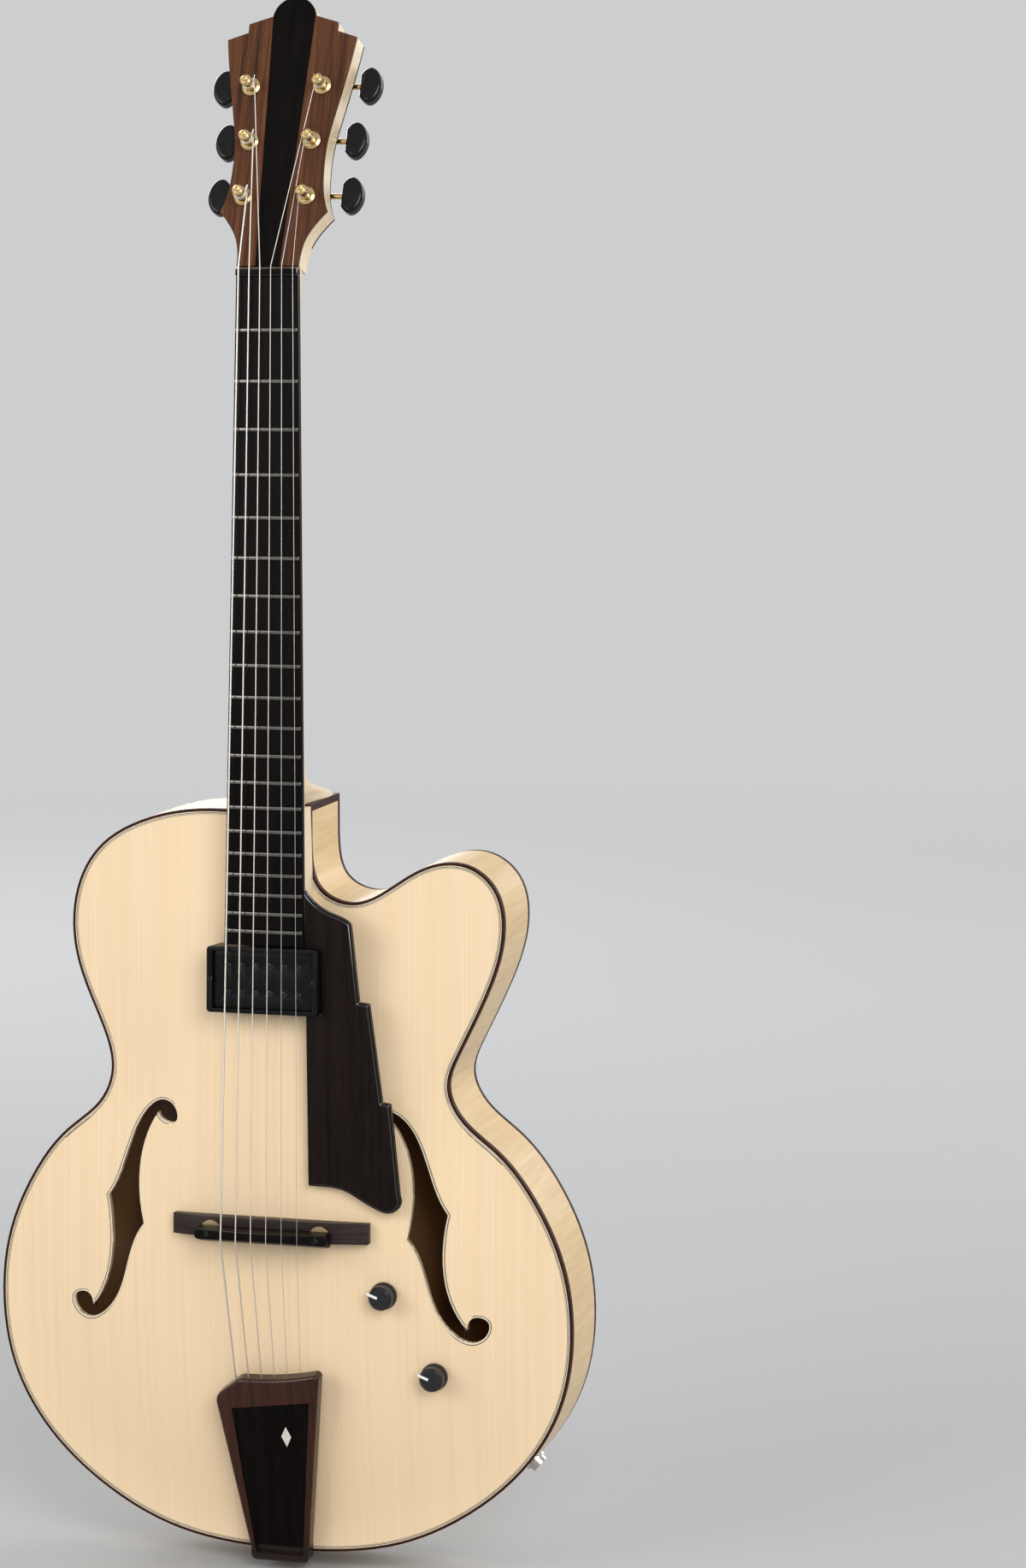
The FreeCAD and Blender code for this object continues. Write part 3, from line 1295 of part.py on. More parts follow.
def make_tailpiece():
    panel = placed(tail_blank().cut(plate(inlay_edges(0), -OVERRUN, TAIL_INLAY + TAIL_INLAY_SINK)), TAIL)
    below = V(-LOWER_BOUT, -TAIL_FOOT_STANDOFF, BODY_END - OVERRUN)
    panel = panel.cut(box(below, V(LOWER_BOUT, RIM_DEPTH, BODY_END)))
    half = TAIL_FOOT_WIDTH / 2
    low = BODY_END - GLUE_LINE - TAIL_FOOT_THICKNESS
    front = -TAIL_FOOT_STANDOFF
    foot = box(V(-half, front, low), V(half, TAIL_FOOT_DEPTH, BODY_END - GLUE_LINE))
    root = box(V(-half, front, BODY_END - GLUE_LINE), V(half, -GLUE_LINE, BODY_END + TAIL_FOOT_THICKNESS))
    foot = foot.makeFillet(TAIL_FOOT_ROUND, foot_corners(foot, front, low))
    tail = fused([panel, foot, root]).cut(ABOVE_TOP_EDGE).cut(ABOVE_TOP)
    tail = tail.cut(placed(plate(inlay_edges(0), -OVERRUN, TAIL_INLAY + TAIL_INLAY_SINK), TAIL))
    holes = [string_hole(index) for index in range(STRING_COUNT)]
    screws = [drill(TAIL_SCREW_RADIUS + GLUE_LINE, start, UPWARD)
              for start in tail_screw_places()]
    return tail.cut(fused_cutters(holes + screws))


def foot_corners(foot, front, low):
    return [edge for edge in foot.Edges if abs(edge.CenterOfMass.z - low) < REST_GAP
            and (abs(edge.CenterOfMass.y - front) < REST_GAP or abs(edge.CenterOfMass.x) > REST_GAP)]


ABOVE_TOP_EDGE = body_slab(0, -GLUE_LINE, RIM_DEPTH)


def string_hole(index):
    entry, anchor = string_tail_points(index)
    run = (anchor - entry).normalize()
    radius = STRING_DIAMETERS[index] / 2 + REST_GAP
    return rod(radius, entry - run * OVERRUN, anchor + run * GLUE_LINE)


def make_tailpiece_inlay():
    panel = plate(inlay_edges(GLUE_LINE), TAIL_INLAY_SINK, TAIL_INLAY + TAIL_INLAY_SINK - GLUE_LINE)
    floor = BODY_END + TAIL_FOOT_THICKNESS
    return placed(panel, TAIL).cut(box(V(-LOWER_BOUT, -LOWER_BOUT, BODY_END - LOWER_BOUT),
                                       V(LOWER_BOUT, LOWER_BOUT, floor)))


def tail_screw_places():
    """Where the tailpiece's two screws pass the lower edge of the rim."""
    return [V(side * TAIL_SCREW_SPREAD / 2, TAIL_FOOT_DEPTH / 2, BODY_END) for side in (-1, 1)]


def make_tailpiece_screws():
    head = TAIL_FOOT_THICKNESS + 2 * GLUE_LINE
    profile = ((0, -TAIL_SCREW_LENGTH), (TAIL_SCREW_RADIUS, -TAIL_SCREW_LENGTH), (TAIL_SCREW_RADIUS, head),
               (TAIL_SCREW_HEAD_RADIUS, head), (TAIL_SCREW_HEAD_RADIUS / 2, head + TAIL_SCREW_HEAD),
               (0, head + TAIL_SCREW_HEAD))
    return [turned(profile, place, -UPWARD) for place in tail_screw_places()]


# Pickguard

GUARD_INNER = BOARD_END_WIDTH / 2 + GUARD_INNER_GAP


def guard_place(share):
    return V(GUARD_INNER + share[0] * GUARD_WIDTH, 0, BODY_TOP + share[1] * (BRIDGE_Z - BODY_TOP))


def guard_edges():
    curve = [guard_place(share) for share in GUARD_CURVE_SHARES]
    steps = [guard_place(share) for share in GUARD_STEP_SHARES]
    foot = [guard_place(share) for share in GUARD_FOOT_SHARES]
    end = guard_place((0, GUARD_END_SHARE))
    return ([smooth_edge(curve + steps[:1]), smooth_edge([steps[-1]] + foot + [end])]
            + polyline(steps) + [straight(end, curve[0])])


def make_pickguard():
    blank = plate(guard_edges(), -GUARD_STANDOFF, GUARD_THICKNESS - GUARD_STANDOFF)
    front = [edge for edge in blank.Edges if edge.BoundBox.YMax < GUARD_BEVEL / 4 - GUARD_STANDOFF]
    outer = [edge for edge in front if edge.CenterOfMass.x > GUARD_INNER + GUARD_INNER_GAP]
    guard = blank.makeChamfer(GUARD_BEVEL, outer)
    guard = guard.cut(placed(ring_room(FREE_GAP), NECK))
    return max(guard.Solids, key=lambda s: s.Volume)


def make_pickguard_bracket():
    """A post from the top up to the pickguard, with a small peg let into the guard."""
    place = guard_place(GUARD_POST_SHARE)
    back = GUARD_THICKNESS - GUARD_STANDOFF + GLUE_LINE
    return rod(GUARD_POST_RADIUS, place + BACKWARD * back, place + BACKWARD * RIM_DEPTH).cut(ABOVE_TOP)


# Pickup, in the neck's frame

RING_TOP_Z = -BOARD_LENGTH - RING_GAP
RING_HALF = PICKUP_LENGTH / 2 + RING_BORDER
RING_HEIGHT = PICKUP_WIDTH + 2 * RING_SIDE
PICKUP_CENTRE_Z = RING_TOP_Z - RING_HEIGHT / 2
EAR_TOP = RING_SINK + RING_FLANGE + EAR_SINK


def ring_room(gap):
    low = V(-RING_HALF - gap, -OVERRUN, RING_TOP_Z - RING_HEIGHT - gap)
    return box(low, V(RING_HALF + gap, RIM_DEPTH, RING_TOP_Z + gap))


def upright_edges(solid):
    return [edge for edge in solid.Edges if abs(edge.tangentAt(edge.FirstParameter).y) > 0.9]


def make_pickup_ring():
    blank = box(V(-RING_HALF, RING_SINK, RING_TOP_Z - RING_HEIGHT), V(RING_HALF, RIM_DEPTH, RING_TOP_Z))
    ring = blank.makeFillet(RING_ROUND, upright_edges(blank))
    half = PICKUP_LENGTH / 2 + FREE_GAP
    wide = PICKUP_WIDTH / 2 + FREE_GAP
    low = PICKUP_CENTRE_Z - wide
    ring = ring.cut(box(V(-half, -OVERRUN, low), V(half, RIM_DEPTH + OVERRUN, PICKUP_CENTRE_Z + wide)))
    pocket = PICKUP_LENGTH / 2 + EAR_LENGTH + FREE_GAP
    ear = EAR_WIDTH / 2 + FREE_GAP
    ring = ring.cut(box(V(-pocket, RING_SINK + RING_FLANGE, PICKUP_CENTRE_Z - ear),
                        V(pocket, RIM_DEPTH + OVERRUN, PICKUP_CENTRE_Z + ear)))
    for place in height_screw_places():
        ring = ring.cut(drill(HEIGHT_SCREW_RADIUS + RUNNING_GAP, place, BACKWARD))
    return placed(ring, NECK).cut(ABOVE_TOP)


def height_screw_places():
    x = PICKUP_LENGTH / 2 + EAR_LENGTH / 2
    return [V(side * x, 0, PICKUP_CENTRE_Z) for side in (-1, 1)]


def pole_places():
    places = []
    for row in (-1, 1):
        for index in range(STRING_COUNT):
            places.append(V(string_x(index, POLE_SPREAD), 0, PICKUP_CENTRE_Z + row * POLE_ROW_SPREAD / 2))
    return places


def make_pickup_cover():
    half = PICKUP_LENGTH / 2
    low = V(-half, PICKUP_SINK, PICKUP_CENTRE_Z - PICKUP_WIDTH / 2)
    blank = box(low, V(half, PICKUP_SINK + PICKUP_DEPTH, PICKUP_CENTRE_Z + PICKUP_WIDTH / 2))
    cover = blank.makeFillet(PICKUP_ROUND, upright_edges(blank))
    reach = half + EAR_LENGTH
    ears = box(V(-reach, EAR_TOP, PICKUP_CENTRE_Z - EAR_WIDTH / 2),
               V(reach, EAR_TOP + EAR_HEIGHT, PICKUP_CENTRE_Z + EAR_WIDTH / 2))
    cover = fused([cover, ears])
    holes = [rod(POLE_RADIUS + GLUE_LINE / 2, place, place + BACKWARD * (PICKUP_SINK + POLE_DEPTH))
             for place in pole_places()]
    holes += [rod(HEIGHT_SCREW_RADIUS + RUNNING_GAP, place, place + BACKWARD * OVERRUN)
              for place in height_screw_places()]
    return placed(cover.cut(fused_cutters(holes)), NECK)


def make_poles():
    top = PICKUP_SINK - POLE_PROUD
    deep = PICKUP_SINK + POLE_DEPTH - GLUE_LINE
    return [placed(rod(POLE_RADIUS, place + BACKWARD * top, place + BACKWARD * deep), NECK)
            for place in pole_places()]


def make_height_screw(place):
    start = RING_SINK - RUNNING_GAP
    end = EAR_TOP + EAR_HEIGHT + PICKUP_TRAVEL
    face = place + BACKWARD * (start - HEIGHT_SCREW_HEAD)
    head = rod(HEIGHT_SCREW_HEAD_RADIUS, face, place + BACKWARD * start)
    stem = rod(HEIGHT_SCREW_RADIUS, place + BACKWARD * (start - HEIGHT_SCREW_HEAD), place + BACKWARD * end)
    return placed(fused([head, stem]), NECK)


# Controls, jack and strap button

def knob_base(place):
    """The level that clears the top all round a knob's skirt."""
    highest = 0
    for step in range(SECTION_POINTS):
        angle = 2 * math.pi * step / SECTION_POINTS
        x = place.x + KNOB_RADIUS * math.cos(angle)
        z = place.z + KNOB_RADIUS * math.sin(angle)
        highest = max(highest, TOP_RISE * arch_share(x, z))
    return V(place.x, -highest - KNOB_CLEARANCE, place.z)


def make_knob(place):
    base = knob_base(place)
    profile = ((0, 0), (KNOB_RADIUS, 0), (KNOB_RADIUS, KNOB_SKIRT),
               (KNOB_TOP_RADIUS, KNOB_SKIRT + KNOB_ROUND),
               (KNOB_TOP_RADIUS, KNOB_HEIGHT - KNOB_ROUND), (KNOB_TOP_RADIUS - KNOB_ROUND, KNOB_HEIGHT),
               (0, KNOB_HEIGHT))
    knob = turned(profile, base, -BACKWARD)
    top = KNOB_HEIGHT - POT_SHAFT_COVER
    return knob.cut(rod(POT_SHAFT_RADIUS + RUNNING_GAP, base - BACKWARD * top, base + BACKWARD * OVERRUN))


def make_pot(place):
    """A control under the top, with its bushing in the plate and its shaft in the knob."""
    base = knob_base(place)
    tip = base - BACKWARD * (KNOB_HEIGHT - POT_SHAFT_COVER - FREE_GAP)
    under = place + BACKWARD * (TOP_THICKNESS + POT_CASE_DROP)
    shaft = rod(POT_SHAFT_RADIUS, tip, under)
    bushing = rod(POT_BUSHING_RADIUS, base + BACKWARD * (KNOB_CLEARANCE / 2), under)
    case = rod(POT_CASE_RADIUS, under, under + BACKWARD * POT_CASE_DEPTH)
    return fused([shaft, bushing, case])


def make_output_jack():
    """A socket through the rim, with a washer and a nut outside."""
    face = JACK_PLACE + JACK_WAY * FREE_GAP
    washer = rod(JACK_FLANGE_RADIUS, face, face + JACK_WAY * JACK_FLANGE)
    nut = rod(JACK_NUT_RADIUS, face, face + JACK_WAY * (JACK_FLANGE + JACK_NUT))
    barrel = rod(JACK_BARREL_RADIUS, face - JACK_WAY * JACK_REACH, face)
    bore = rod(JACK_BORE_RADIUS, face - JACK_WAY * (JACK_REACH - JACK_FLANGE), face + JACK_WAY * OVERRUN)
    return fused([washer, nut, barrel]).cut(bore)


def make_strap_button():
    start = V(0, STRAP_Y, BODY_END - GLUE_LINE)
    profile = ((0, -STRAP_SINK), (STRAP_STEM_RADIUS, -STRAP_SINK), (STRAP_STEM_RADIUS, 0),
               (STRAP_RIM_RADIUS, 0),
               (STRAP_WAIST_RADIUS, STRAP_LENGTH / 3), (STRAP_WAIST_RADIUS, STRAP_LENGTH / 2),
               (STRAP_RIM_RADIUS, STRAP_LENGTH * 0.8), (STRAP_RIM_RADIUS * 0.9, STRAP_LENGTH),
               (0, STRAP_LENGTH))
    return turned(profile, start, -UPWARD)


# Assembly

def tuner_nodes():
    nodes = {}
    for number, (side, place) in enumerate(post_places(), 1):
        nodes["tuner_button_%d" % number] = [make_button(side, place)]
        nodes["tuner_worm_%d" % number] = [make_worm(side, place)]
        nodes["tuner_post_%d" % number] = [make_post(place)]
    nodes["tuner_housings"] = [make_housing(side, place) for side, place in post_places()]
    nodes["tuner_bushings"] = [make_bushing(place) for _, place in post_places()]
    nodes["tuner_screws"] = [make_screw(side, place) for side, place in post_places()]
    return nodes


def body_nodes():
    blocks = make_end_blocks()
    return {
        "top_plate": [make_top_plate()],
        "back_plate": [make_back_plate()],
        "rim": [make_rim()],
        "end_blocks": blocks,
        "linings": make_linings(blocks),
        "tone_bars": make_tone_bars(),
        "top_binding": [make_top_binding()],
        "back_binding": [make_back_binding()],
    }


def neck_nodes():
    holes = screw_holes()
    return {
        "neck": [make_neck().cut(holes)],
        "heel_plate": [make_heel_plate()],
        "fingerboard": [make_fingerboard()],
        "frets": make_frets(),
        "nut": [make_nut()],
        "headplate": make_headplate(),
        "headplate_stripe": [make_headplate_stripe()],
        "headstock_backplate": [piece.cut(holes) for piece in make_headstock_backplate()],
        "truss_rod": [make_truss_rod()],
    }


def string_nodes():
    strings = [make_string(index) for index in range(STRING_COUNT)]
    return {"wound_strings": strings[:WOUND_COUNT], "plain_strings": strings[WOUND_COUNT:]}


def bridge_nodes():
    bass, treble = stud_places()
    return {
        "bridge_base": [make_bridge_base()],
        "bridge_saddle": [make_saddle()],
        "bridge_studs": make_studs(),
        "thumbwheel_bass": [make_thumbwheel(bass)],
        "thumbwheel_treble": [make_thumbwheel(treble)],
        "tailpiece": [make_tailpiece()],
        "tailpiece_inlay": [make_tailpiece_inlay()],
        "tailpiece_screws": make_tailpiece_screws(),
    }


def control_nodes():
    bass, treble = height_screw_places()
    volume, tone = CONTROL_PLACES
    return {
        "pickguard": [make_pickguard()],
        "pickguard_bracket": [make_pickguard_bracket()],
        "pickup_ring": [make_pickup_ring()],
        "pickup_cover": [make_pickup_cover()],
        "pickup_poles": make_poles(),
        "pickup_screw_bass": [make_height_screw(bass)],
        "pickup_screw_treble": [make_height_screw(treble)],
        "volume_knob": [make_knob(volume)],
        "tone_knob": [make_knob(tone)],
        "potentiometers": [make_pot(volume), make_pot(tone)],
        "output_jack": [make_output_jack()],
        "strap_button": [make_strap_button()],
    }


def main():
    os.makedirs("parts", exist_ok=True)
    for group in (body_nodes, neck_nodes, tuner_nodes, string_nodes, bridge_nodes, control_nodes):
        for name, solids in group().items():
            shape = solids[0] if len(solids) == 1 else Part.makeCompound(solids)
            shape.exportStep("parts/%s.step" % name)


main()
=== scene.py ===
import math
from collections import Counter

import bpy
from mathutils import Matrix, Vector


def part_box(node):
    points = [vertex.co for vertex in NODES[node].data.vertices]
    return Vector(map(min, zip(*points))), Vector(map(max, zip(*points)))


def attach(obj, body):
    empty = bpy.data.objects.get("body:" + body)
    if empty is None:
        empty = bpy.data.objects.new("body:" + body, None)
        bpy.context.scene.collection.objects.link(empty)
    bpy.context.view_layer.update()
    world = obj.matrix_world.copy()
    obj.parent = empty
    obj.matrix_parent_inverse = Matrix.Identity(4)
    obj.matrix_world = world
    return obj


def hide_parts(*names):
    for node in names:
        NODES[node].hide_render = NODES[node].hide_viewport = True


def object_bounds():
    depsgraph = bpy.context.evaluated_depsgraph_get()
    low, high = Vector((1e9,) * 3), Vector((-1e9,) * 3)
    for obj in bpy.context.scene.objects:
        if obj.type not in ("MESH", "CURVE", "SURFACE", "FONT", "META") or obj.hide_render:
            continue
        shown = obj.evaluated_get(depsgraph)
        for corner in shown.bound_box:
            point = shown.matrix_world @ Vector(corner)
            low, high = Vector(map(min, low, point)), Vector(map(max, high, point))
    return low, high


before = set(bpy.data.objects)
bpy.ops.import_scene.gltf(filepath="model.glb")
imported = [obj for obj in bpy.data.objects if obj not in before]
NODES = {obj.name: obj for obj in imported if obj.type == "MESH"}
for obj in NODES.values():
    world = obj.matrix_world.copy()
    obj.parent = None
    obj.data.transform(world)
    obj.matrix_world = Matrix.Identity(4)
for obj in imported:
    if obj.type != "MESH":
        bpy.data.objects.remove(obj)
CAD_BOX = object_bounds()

bl_info = {
    "name": "Archtop Guitar Looks",
    "version": (1, 0, 0),
    "blender": (4, 5, 0),
    "location": "View3D > Sidebar > Guitar",
    "description": "Finishes, strings, binding lines and fittings of a carved archtop guitar",
    "category": "Object",
}

MM = 0.001
# A length past the guitar's own: a pattern drawn out to it doesn't change that way.
FAR = 1.0
# How near to a level a corner or face counts as lying on it.
NEAR = 0.1 * MM


def linear(shade):
    """Turns an sRGB hex colour to linear red, green and blue."""
    parts = [int(shade[k:k + 2], 16) / 255 for k in (1, 3, 5)]
    return [c / 12.92 if c <= 0.04045 else ((c + 0.055) / 1.055) ** 2.4 for c in parts]


COLOURS = {
    "spruce": ("#F2DAB8", "Spruce of the carved top between its grain lines"),
    "spruce_line": ("#E6C89C", "Late wood in the spruce's grain lines"),
    "maple": ("#ECDBC4", "Maple of the back, between its flame"),
    "maple_flame": ("#E0CBAC", "Shaded flame of that maple"),
    "side_maple": ("#EBCFA0", "Maple of the bent sides"),
    "side_flame": ("#D2AF78", "Shaded flame of the bent sides"),
    "neck_maple": ("#F3E0C3", "Maple of the neck"),
    "neck_flame": ("#E6CDA3", "Shaded flame of the neck's maple"),
    # Its brown is painted shade: the bare wood inside the body is paler, and this stands for the
    # little light that reaches it.
    "inside_wood": ("#9C7046", "Bare wood inside the body"),
    "binding": ("#43210D", "Rosewood binding"),
    "binding_streak": ("#260F07", "Dark streaks of the rosewood binding"),
    "line_pale": ("#E9DCC0", "Pale lines beside binding and sound holes"),
    "line_black": ("#16110E", "Black lines beside binding and sound holes"),
    "ebony": ("#130E0D", "Ebony between its pores"),
    "ebony_streak": ("#050404", "Dark streaks of the ebony"),
    "bridge_wood": ("#3A2F2D", "Ebony of the bridge's base, dulled by handling"),
    "bridge_streak": ("#1E1817", "Dark streaks of that base"),
    "rosewood": ("#6E452C", "Rosewood of the headstock's face"),
    "rosewood_streak": ("#2E1B13", "Dark streaks of that rosewood"),
    "tail_wood": ("#45200F", "Red-brown rosewood of the tailpiece"),
    "tail_streak": ("#1A0906", "Dark streaks of the tailpiece"),
    "dark_wood": ("#211614", "Dark rosewood of guard and headstock back"),
    "dark_streak": ("#060404", "Dark streaks of that wood"),
    "gold": ("#DCC08A", "Gold plate of the tuning machines"),
    "gold_field": ("#A87C3A", "Engraved fields in the gold plate"),
    "brass": ("#CDB48C", "Brass of the bridge's wheels"),
    "nickel": ("#CFCBC2", "Nickel plate of jack and screws"),
    # Darker than nickel silver is: a painted reflection of dark surroundings.
    "fret_metal": ("#75726D", "Nickel silver of the frets"),
    "string_steel": ("#DADADA", "Plain steel strings"),
    "black_steel": ("#3A3A3C", "Black oxide steel of studs, poles and height screws"),
    # These rims are the same steel as the black caps, painted brighter: a painted highlight.
    "pole_steel": ("#B4B4B6", "Polished rims of the pickup's poles and screws"),
    # The grey of these edges is a painted highlight: the light that the pickup cover's edges
    # catch.
    "edge_wear": ("#38383A", "Black edges that handling has dulled"),
    "winding": ("#EDE6DB", "Wire wound round the bass strings"),
    "black_plastic": ("#0C0C0D", "Black plastic of the pickup, and polished black edges"),
    "knob_plastic": ("#232126", "Black plastic of the knobs"),
    "button_plastic": ("#0D0A0A", "Dark tuner buttons"),
    "pearl": ("#E4E2D6", "Pearl inlay"),
    "paint": ("#F2F0EA", "White paint of the knobs' pointers"),
    "floor": ("#B4B5B6", "Pale studio floor"),
    "backdrop": ("#CDCECF", "Where the floor runs out behind the guitar"),
}

SIZES = {
    "binding_width": (1.5, "Brown part of the binding, seen from the front"),
    "line_width": (0.5, "One black or pale line beside the binding"),
    "line_lift": (0.15, "How far the lines stand above the plates"),
    "edging_pale": (1.05, "Pale edging of the sound holes"),
    "edging_black": (0.5, "Black line round that edging"),
    "edging_lift": (0.12, "How far the edging stands above the top"),
    "barrel_height": (8.2, "Barrel over a tuner's worm, up the head"),
    "barrel_rise": (1.0, "How far that barrel stands above the housing's back"),
    "field_border": (1.0, "Bright border round a housing's engraved field"),
    "field_depth": (0.5, "Depth of that field"),
    "pointer_width": (1.8, "White pointer line of a knob"),
    "pointer_depth": (0.25, "How far the pointer's paint reaches above and below the knob's face"),
    "slot_width": (0.7, "Slot in a screw's head"),
    "slot_depth": (0.6, "Depth of that slot"),
    "lozenge_width": (7.0, "Pearl lozenge on the tailpiece"),
    "lozenge_height": (15.0, "Height of that lozenge"),
}


class GuitarColours(bpy.types.PropertyGroup):
    """Colours of the guitar's finishes."""

    __annotations__ = {
        key: bpy.props.FloatVectorProperty(
            name=key.replace("_", " ").capitalize(), description=words, subtype="COLOR",
            size=3, min=0.0, max=1.0, default=linear(shade))
        for key, (shade, words) in COLOURS.items()
    }


class GuitarSizes(bpy.types.PropertyGroup):
    """Sizes of the pieces that are modelled here."""

    __annotations__ = {
        key: bpy.props.FloatProperty(
            name=key.replace("_", " ").capitalize(), description=words, unit="LENGTH",
            min=0.0, default=length * MM)
        for key, (length, words) in SIZES.items()
    }


def colour(key):
    return (*getattr(bpy.context.scene.guitar_colours, key), 1.0)


def size(key):
    return getattr(bpy.context.scene.guitar_sizes, key)


# Materials

def add(material, kind, values=None, **settings):
    """Adds one shader node. Values go to its inputs, by name or place, as numbers or as links."""
    tree = material.node_tree
    node = tree.nodes.new("ShaderNode" + kind)
    for key, value in settings.items():
        setattr(node, key, value)
    for key, value in (values or {}).items():
        if isinstance(value, bpy.types.NodeSocket):
            tree.links.new(value, node.inputs[key])
        else:
            node.inputs[key].default_value = value
    return node


def blank(name, **values):
    """A material with one shader, whose plain values are set on its own sockets."""
    material = bpy.data.materials.new(name)
    material.use_nodes = True
    shader = material.node_tree.nodes["Principled BSDF"]
    for key, value in values.items():
        shader.inputs[key.replace("_", " ")].default_value = value
    return material, shader


def drawn_out(material, lengths, mirror=False, detail=2.0, twist=0.0):
    """Noise drawn out along a surface: lengths are its mean sizes along X, Y and Z in metres."""
    place = add(material, "TexCoord").outputs["Object"]
    if mirror:
        part = add(material, "SeparateXYZ", {0: place}).outputs
        side = add(material, "Math", {0: part[0]}, operation="ABSOLUTE").outputs[0]
        place = add(material, "CombineXYZ", {0: side, 1: part[1], 2: part[2]}).outputs[0]
    place = add(material, "Mapping", {"Vector": place, "Scale": [1 / s for s in lengths]})
    return add(material, "TexNoise", {"Vector": place.outputs[0], "Scale": 1.0,
                                      "Detail": detail, "Distortion": twist}).outputs[0]


def wood(name, light, dark, pores, figure, share=0.5, spread=0.16, mirror=False, edge=0.0,
         bump=0.0, twist=0.0, **values):
    """Wood with fine pores over a slower figure, between two colours."""
    material, shader = blank(name, **values)
    fine = drawn_out(material, pores, mirror, twist=twist)
    slow = drawn_out(material, figure, mirror)
    both = add(material, "Mix", {0: share, 2: fine, 3: slow}).outputs[0]
    span = add(material, "MapRange", {0: both, 1: 0.5 - spread, 2: 0.5 + spread})
    mixed = add(material, "Mix", {0: span.outputs[0], 6: colour(dark), 7: colour(light)},
                data_type="RGBA")
    link = material.node_tree.links.new
    link(mixed.outputs[2], shader.inputs["Base Color"])
    relief(material, shader, fine, bump, edge)
    return material


def hard(name, main, marks, shade=0.8, bump=0.0, edge=0.0, **values):
    """Metal or plastic whose colour and gloss vary a little, as handled parts do.

    Marks are the sizes of that pattern along X, Y and Z, or one size for all three."""
    rough = values.pop("Roughness")
    material, shader = blank(name, **values)
    cloud = drawn_out(material, marks if isinstance(marks, tuple) else (marks,) * 3)
    darker = [c * shade for c in colour(main)[:3]] + [1.0]
    mixed = add(material, "Mix", {0: cloud, 6: darker, 7: colour(main)}, data_type="RGBA")
    gloss = add(material, "MapRange", {0: cloud, 1: 0.3, 2: 0.7, 3: rough * 0.8, 4: rough * 1.25})
    link = material.node_tree.links.new
    link(mixed.outputs[2], shader.inputs["Base Color"])
    link(gloss.outputs[0], shader.inputs["Roughness"])
    relief(material, shader, cloud, bump, edge)
    return material


def tint(material, share, shade):
    """Mixes another colour into a finished material's own, by a share that varies over it."""
    base = material.node_tree.nodes["Principled BSDF"].inputs["Base Color"]
    mixed = add(material, "Mix", {0: share, 6: base.links[0].from_socket, 7: colour(shade)},
                data_type="RGBA")
    material.node_tree.links.new(mixed.outputs[2], base)


def relief(material, shader, height, bump, edge):
    """Softens sharp edges over a width, and gives the surface the relief of its pattern."""
    normal = None
    if edge:
        normal = add(material, "Bevel", {"Radius": edge}, samples=4).outputs[0]
    if bump:
        values = {"Height": height, "Strength": 1.0, "Distance": bump}
        if normal:
            values["Normal"] = normal
        normal = add(material, "Bump", values).outputs[0]
    if normal:
        material.node_tree.links.new(normal, shader.inputs["Normal"])


def paint_nodes(material, *names):
    """Gives CAD nodes their finish; their shapes stay."""
    for name in names:
        slots = NODES[name].material_slots
        if slots:
            slots[0].material = material
        else:
            NODES[name].data.materials.append(material)


# Modelling

def leave_edit():
    """Goes back to object mode, where the mesh shows what was done."""
    bpy.ops.object.mode_set(mode="OBJECT")


def only(piece):
    """Makes one object the selected and active one, in object mode."""
    if bpy.context.object and bpy.context.object.mode != "OBJECT":
        leave_edit()
    bpy.ops.object.select_all(action="DESELECT")
    bpy.context.view_layer.objects.active = piece
    piece.select_set(True)
    return piece


def choose(piece, test=lambda part: True, kind="FACE"):
    """Selects the faces or edges that pass a test, or all of them, in edit mode."""
    only(piece)
    bpy.ops.object.mode_set(mode="EDIT")
    bpy.ops.mesh.select_mode(type=kind)
    bpy.ops.mesh.select_all(action="DESELECT")
    leave_edit()
    for part in piece.data.polygons if kind == "FACE" else piece.data.edges:
        part.select = bool(test(part))
    bpy.ops.object.mode_set(mode="EDIT")


def new_piece(name, mesh):
    """A new object at the origin for a mesh or curve."""
    piece = bpy.data.objects.new(name, mesh)
    bpy.context.scene.collection.objects.link(piece)
    return only(piece)


def merged_copy(node, name):
    """A new piece from a CAD node's surface, with its loose triangles joined."""
    piece = new_piece(name, NODES[node].data.copy())
    piece.data.name = name
    piece.data.materials.clear()
    choose(piece)
    bpy.ops.mesh.remove_doubles(threshold=MM * 0.001)
    bpy.ops.mesh.customdata_custom_splitnormals_clear()
    leave_edit()
    return piece


def apply(piece, kind, **settings):
    """Adds a modifier with its settings and applies it."""
    only(piece)
    modifier = piece.modifiers.new(kind.lower(), kind)
    for key, value in settings.items():
        setattr(modifier, key, value)
    bpy.ops.object.modifier_apply(modifier=modifier.name)


def face_towards(piece, out):
    """Turns a flat piece over if its faces don't look the given way."""
    if piece.data.polygons[0].normal.dot(out) < 0:
        choose(piece)
        bpy.ops.mesh.flip_normals()
        leave_edit()


def flatten(piece):
    """Joins the triangles of each flat part of a CAD surface to one face."""
    choose(piece)
    bpy.ops.mesh.dissolve_limited(angle_limit=math.radians(1))
    leave_edit()


def soften(piece, width, angle, segments, material=-1):
    """Rounds the edges that turn by more than an angle, if wanted in a material of their own."""
    apply(piece, "BEVEL", width=width, segments=segments, limit_method="ANGLE",
          angle_limit=math.radians(angle), material=material)


def loose_parts(piece):
    """Takes a piece apart into its loose bodies."""
    choose(piece)
    bpy.ops.mesh.separate(type="LOOSE")
    leave_edit()
    return sorted(bpy.context.selected_objects, key=lambda part: part.name)


def joined(parts):
    """Puts loose bodies together in one piece and smooths its rounded edges."""
    only(parts[0])
    for part in parts:
        part.select_set(True)
    if len(parts) > 1:
        bpy.ops.object.join()
    bpy.ops.object.shade_smooth_by_angle(angle=math.radians(40))
    return parts[0]


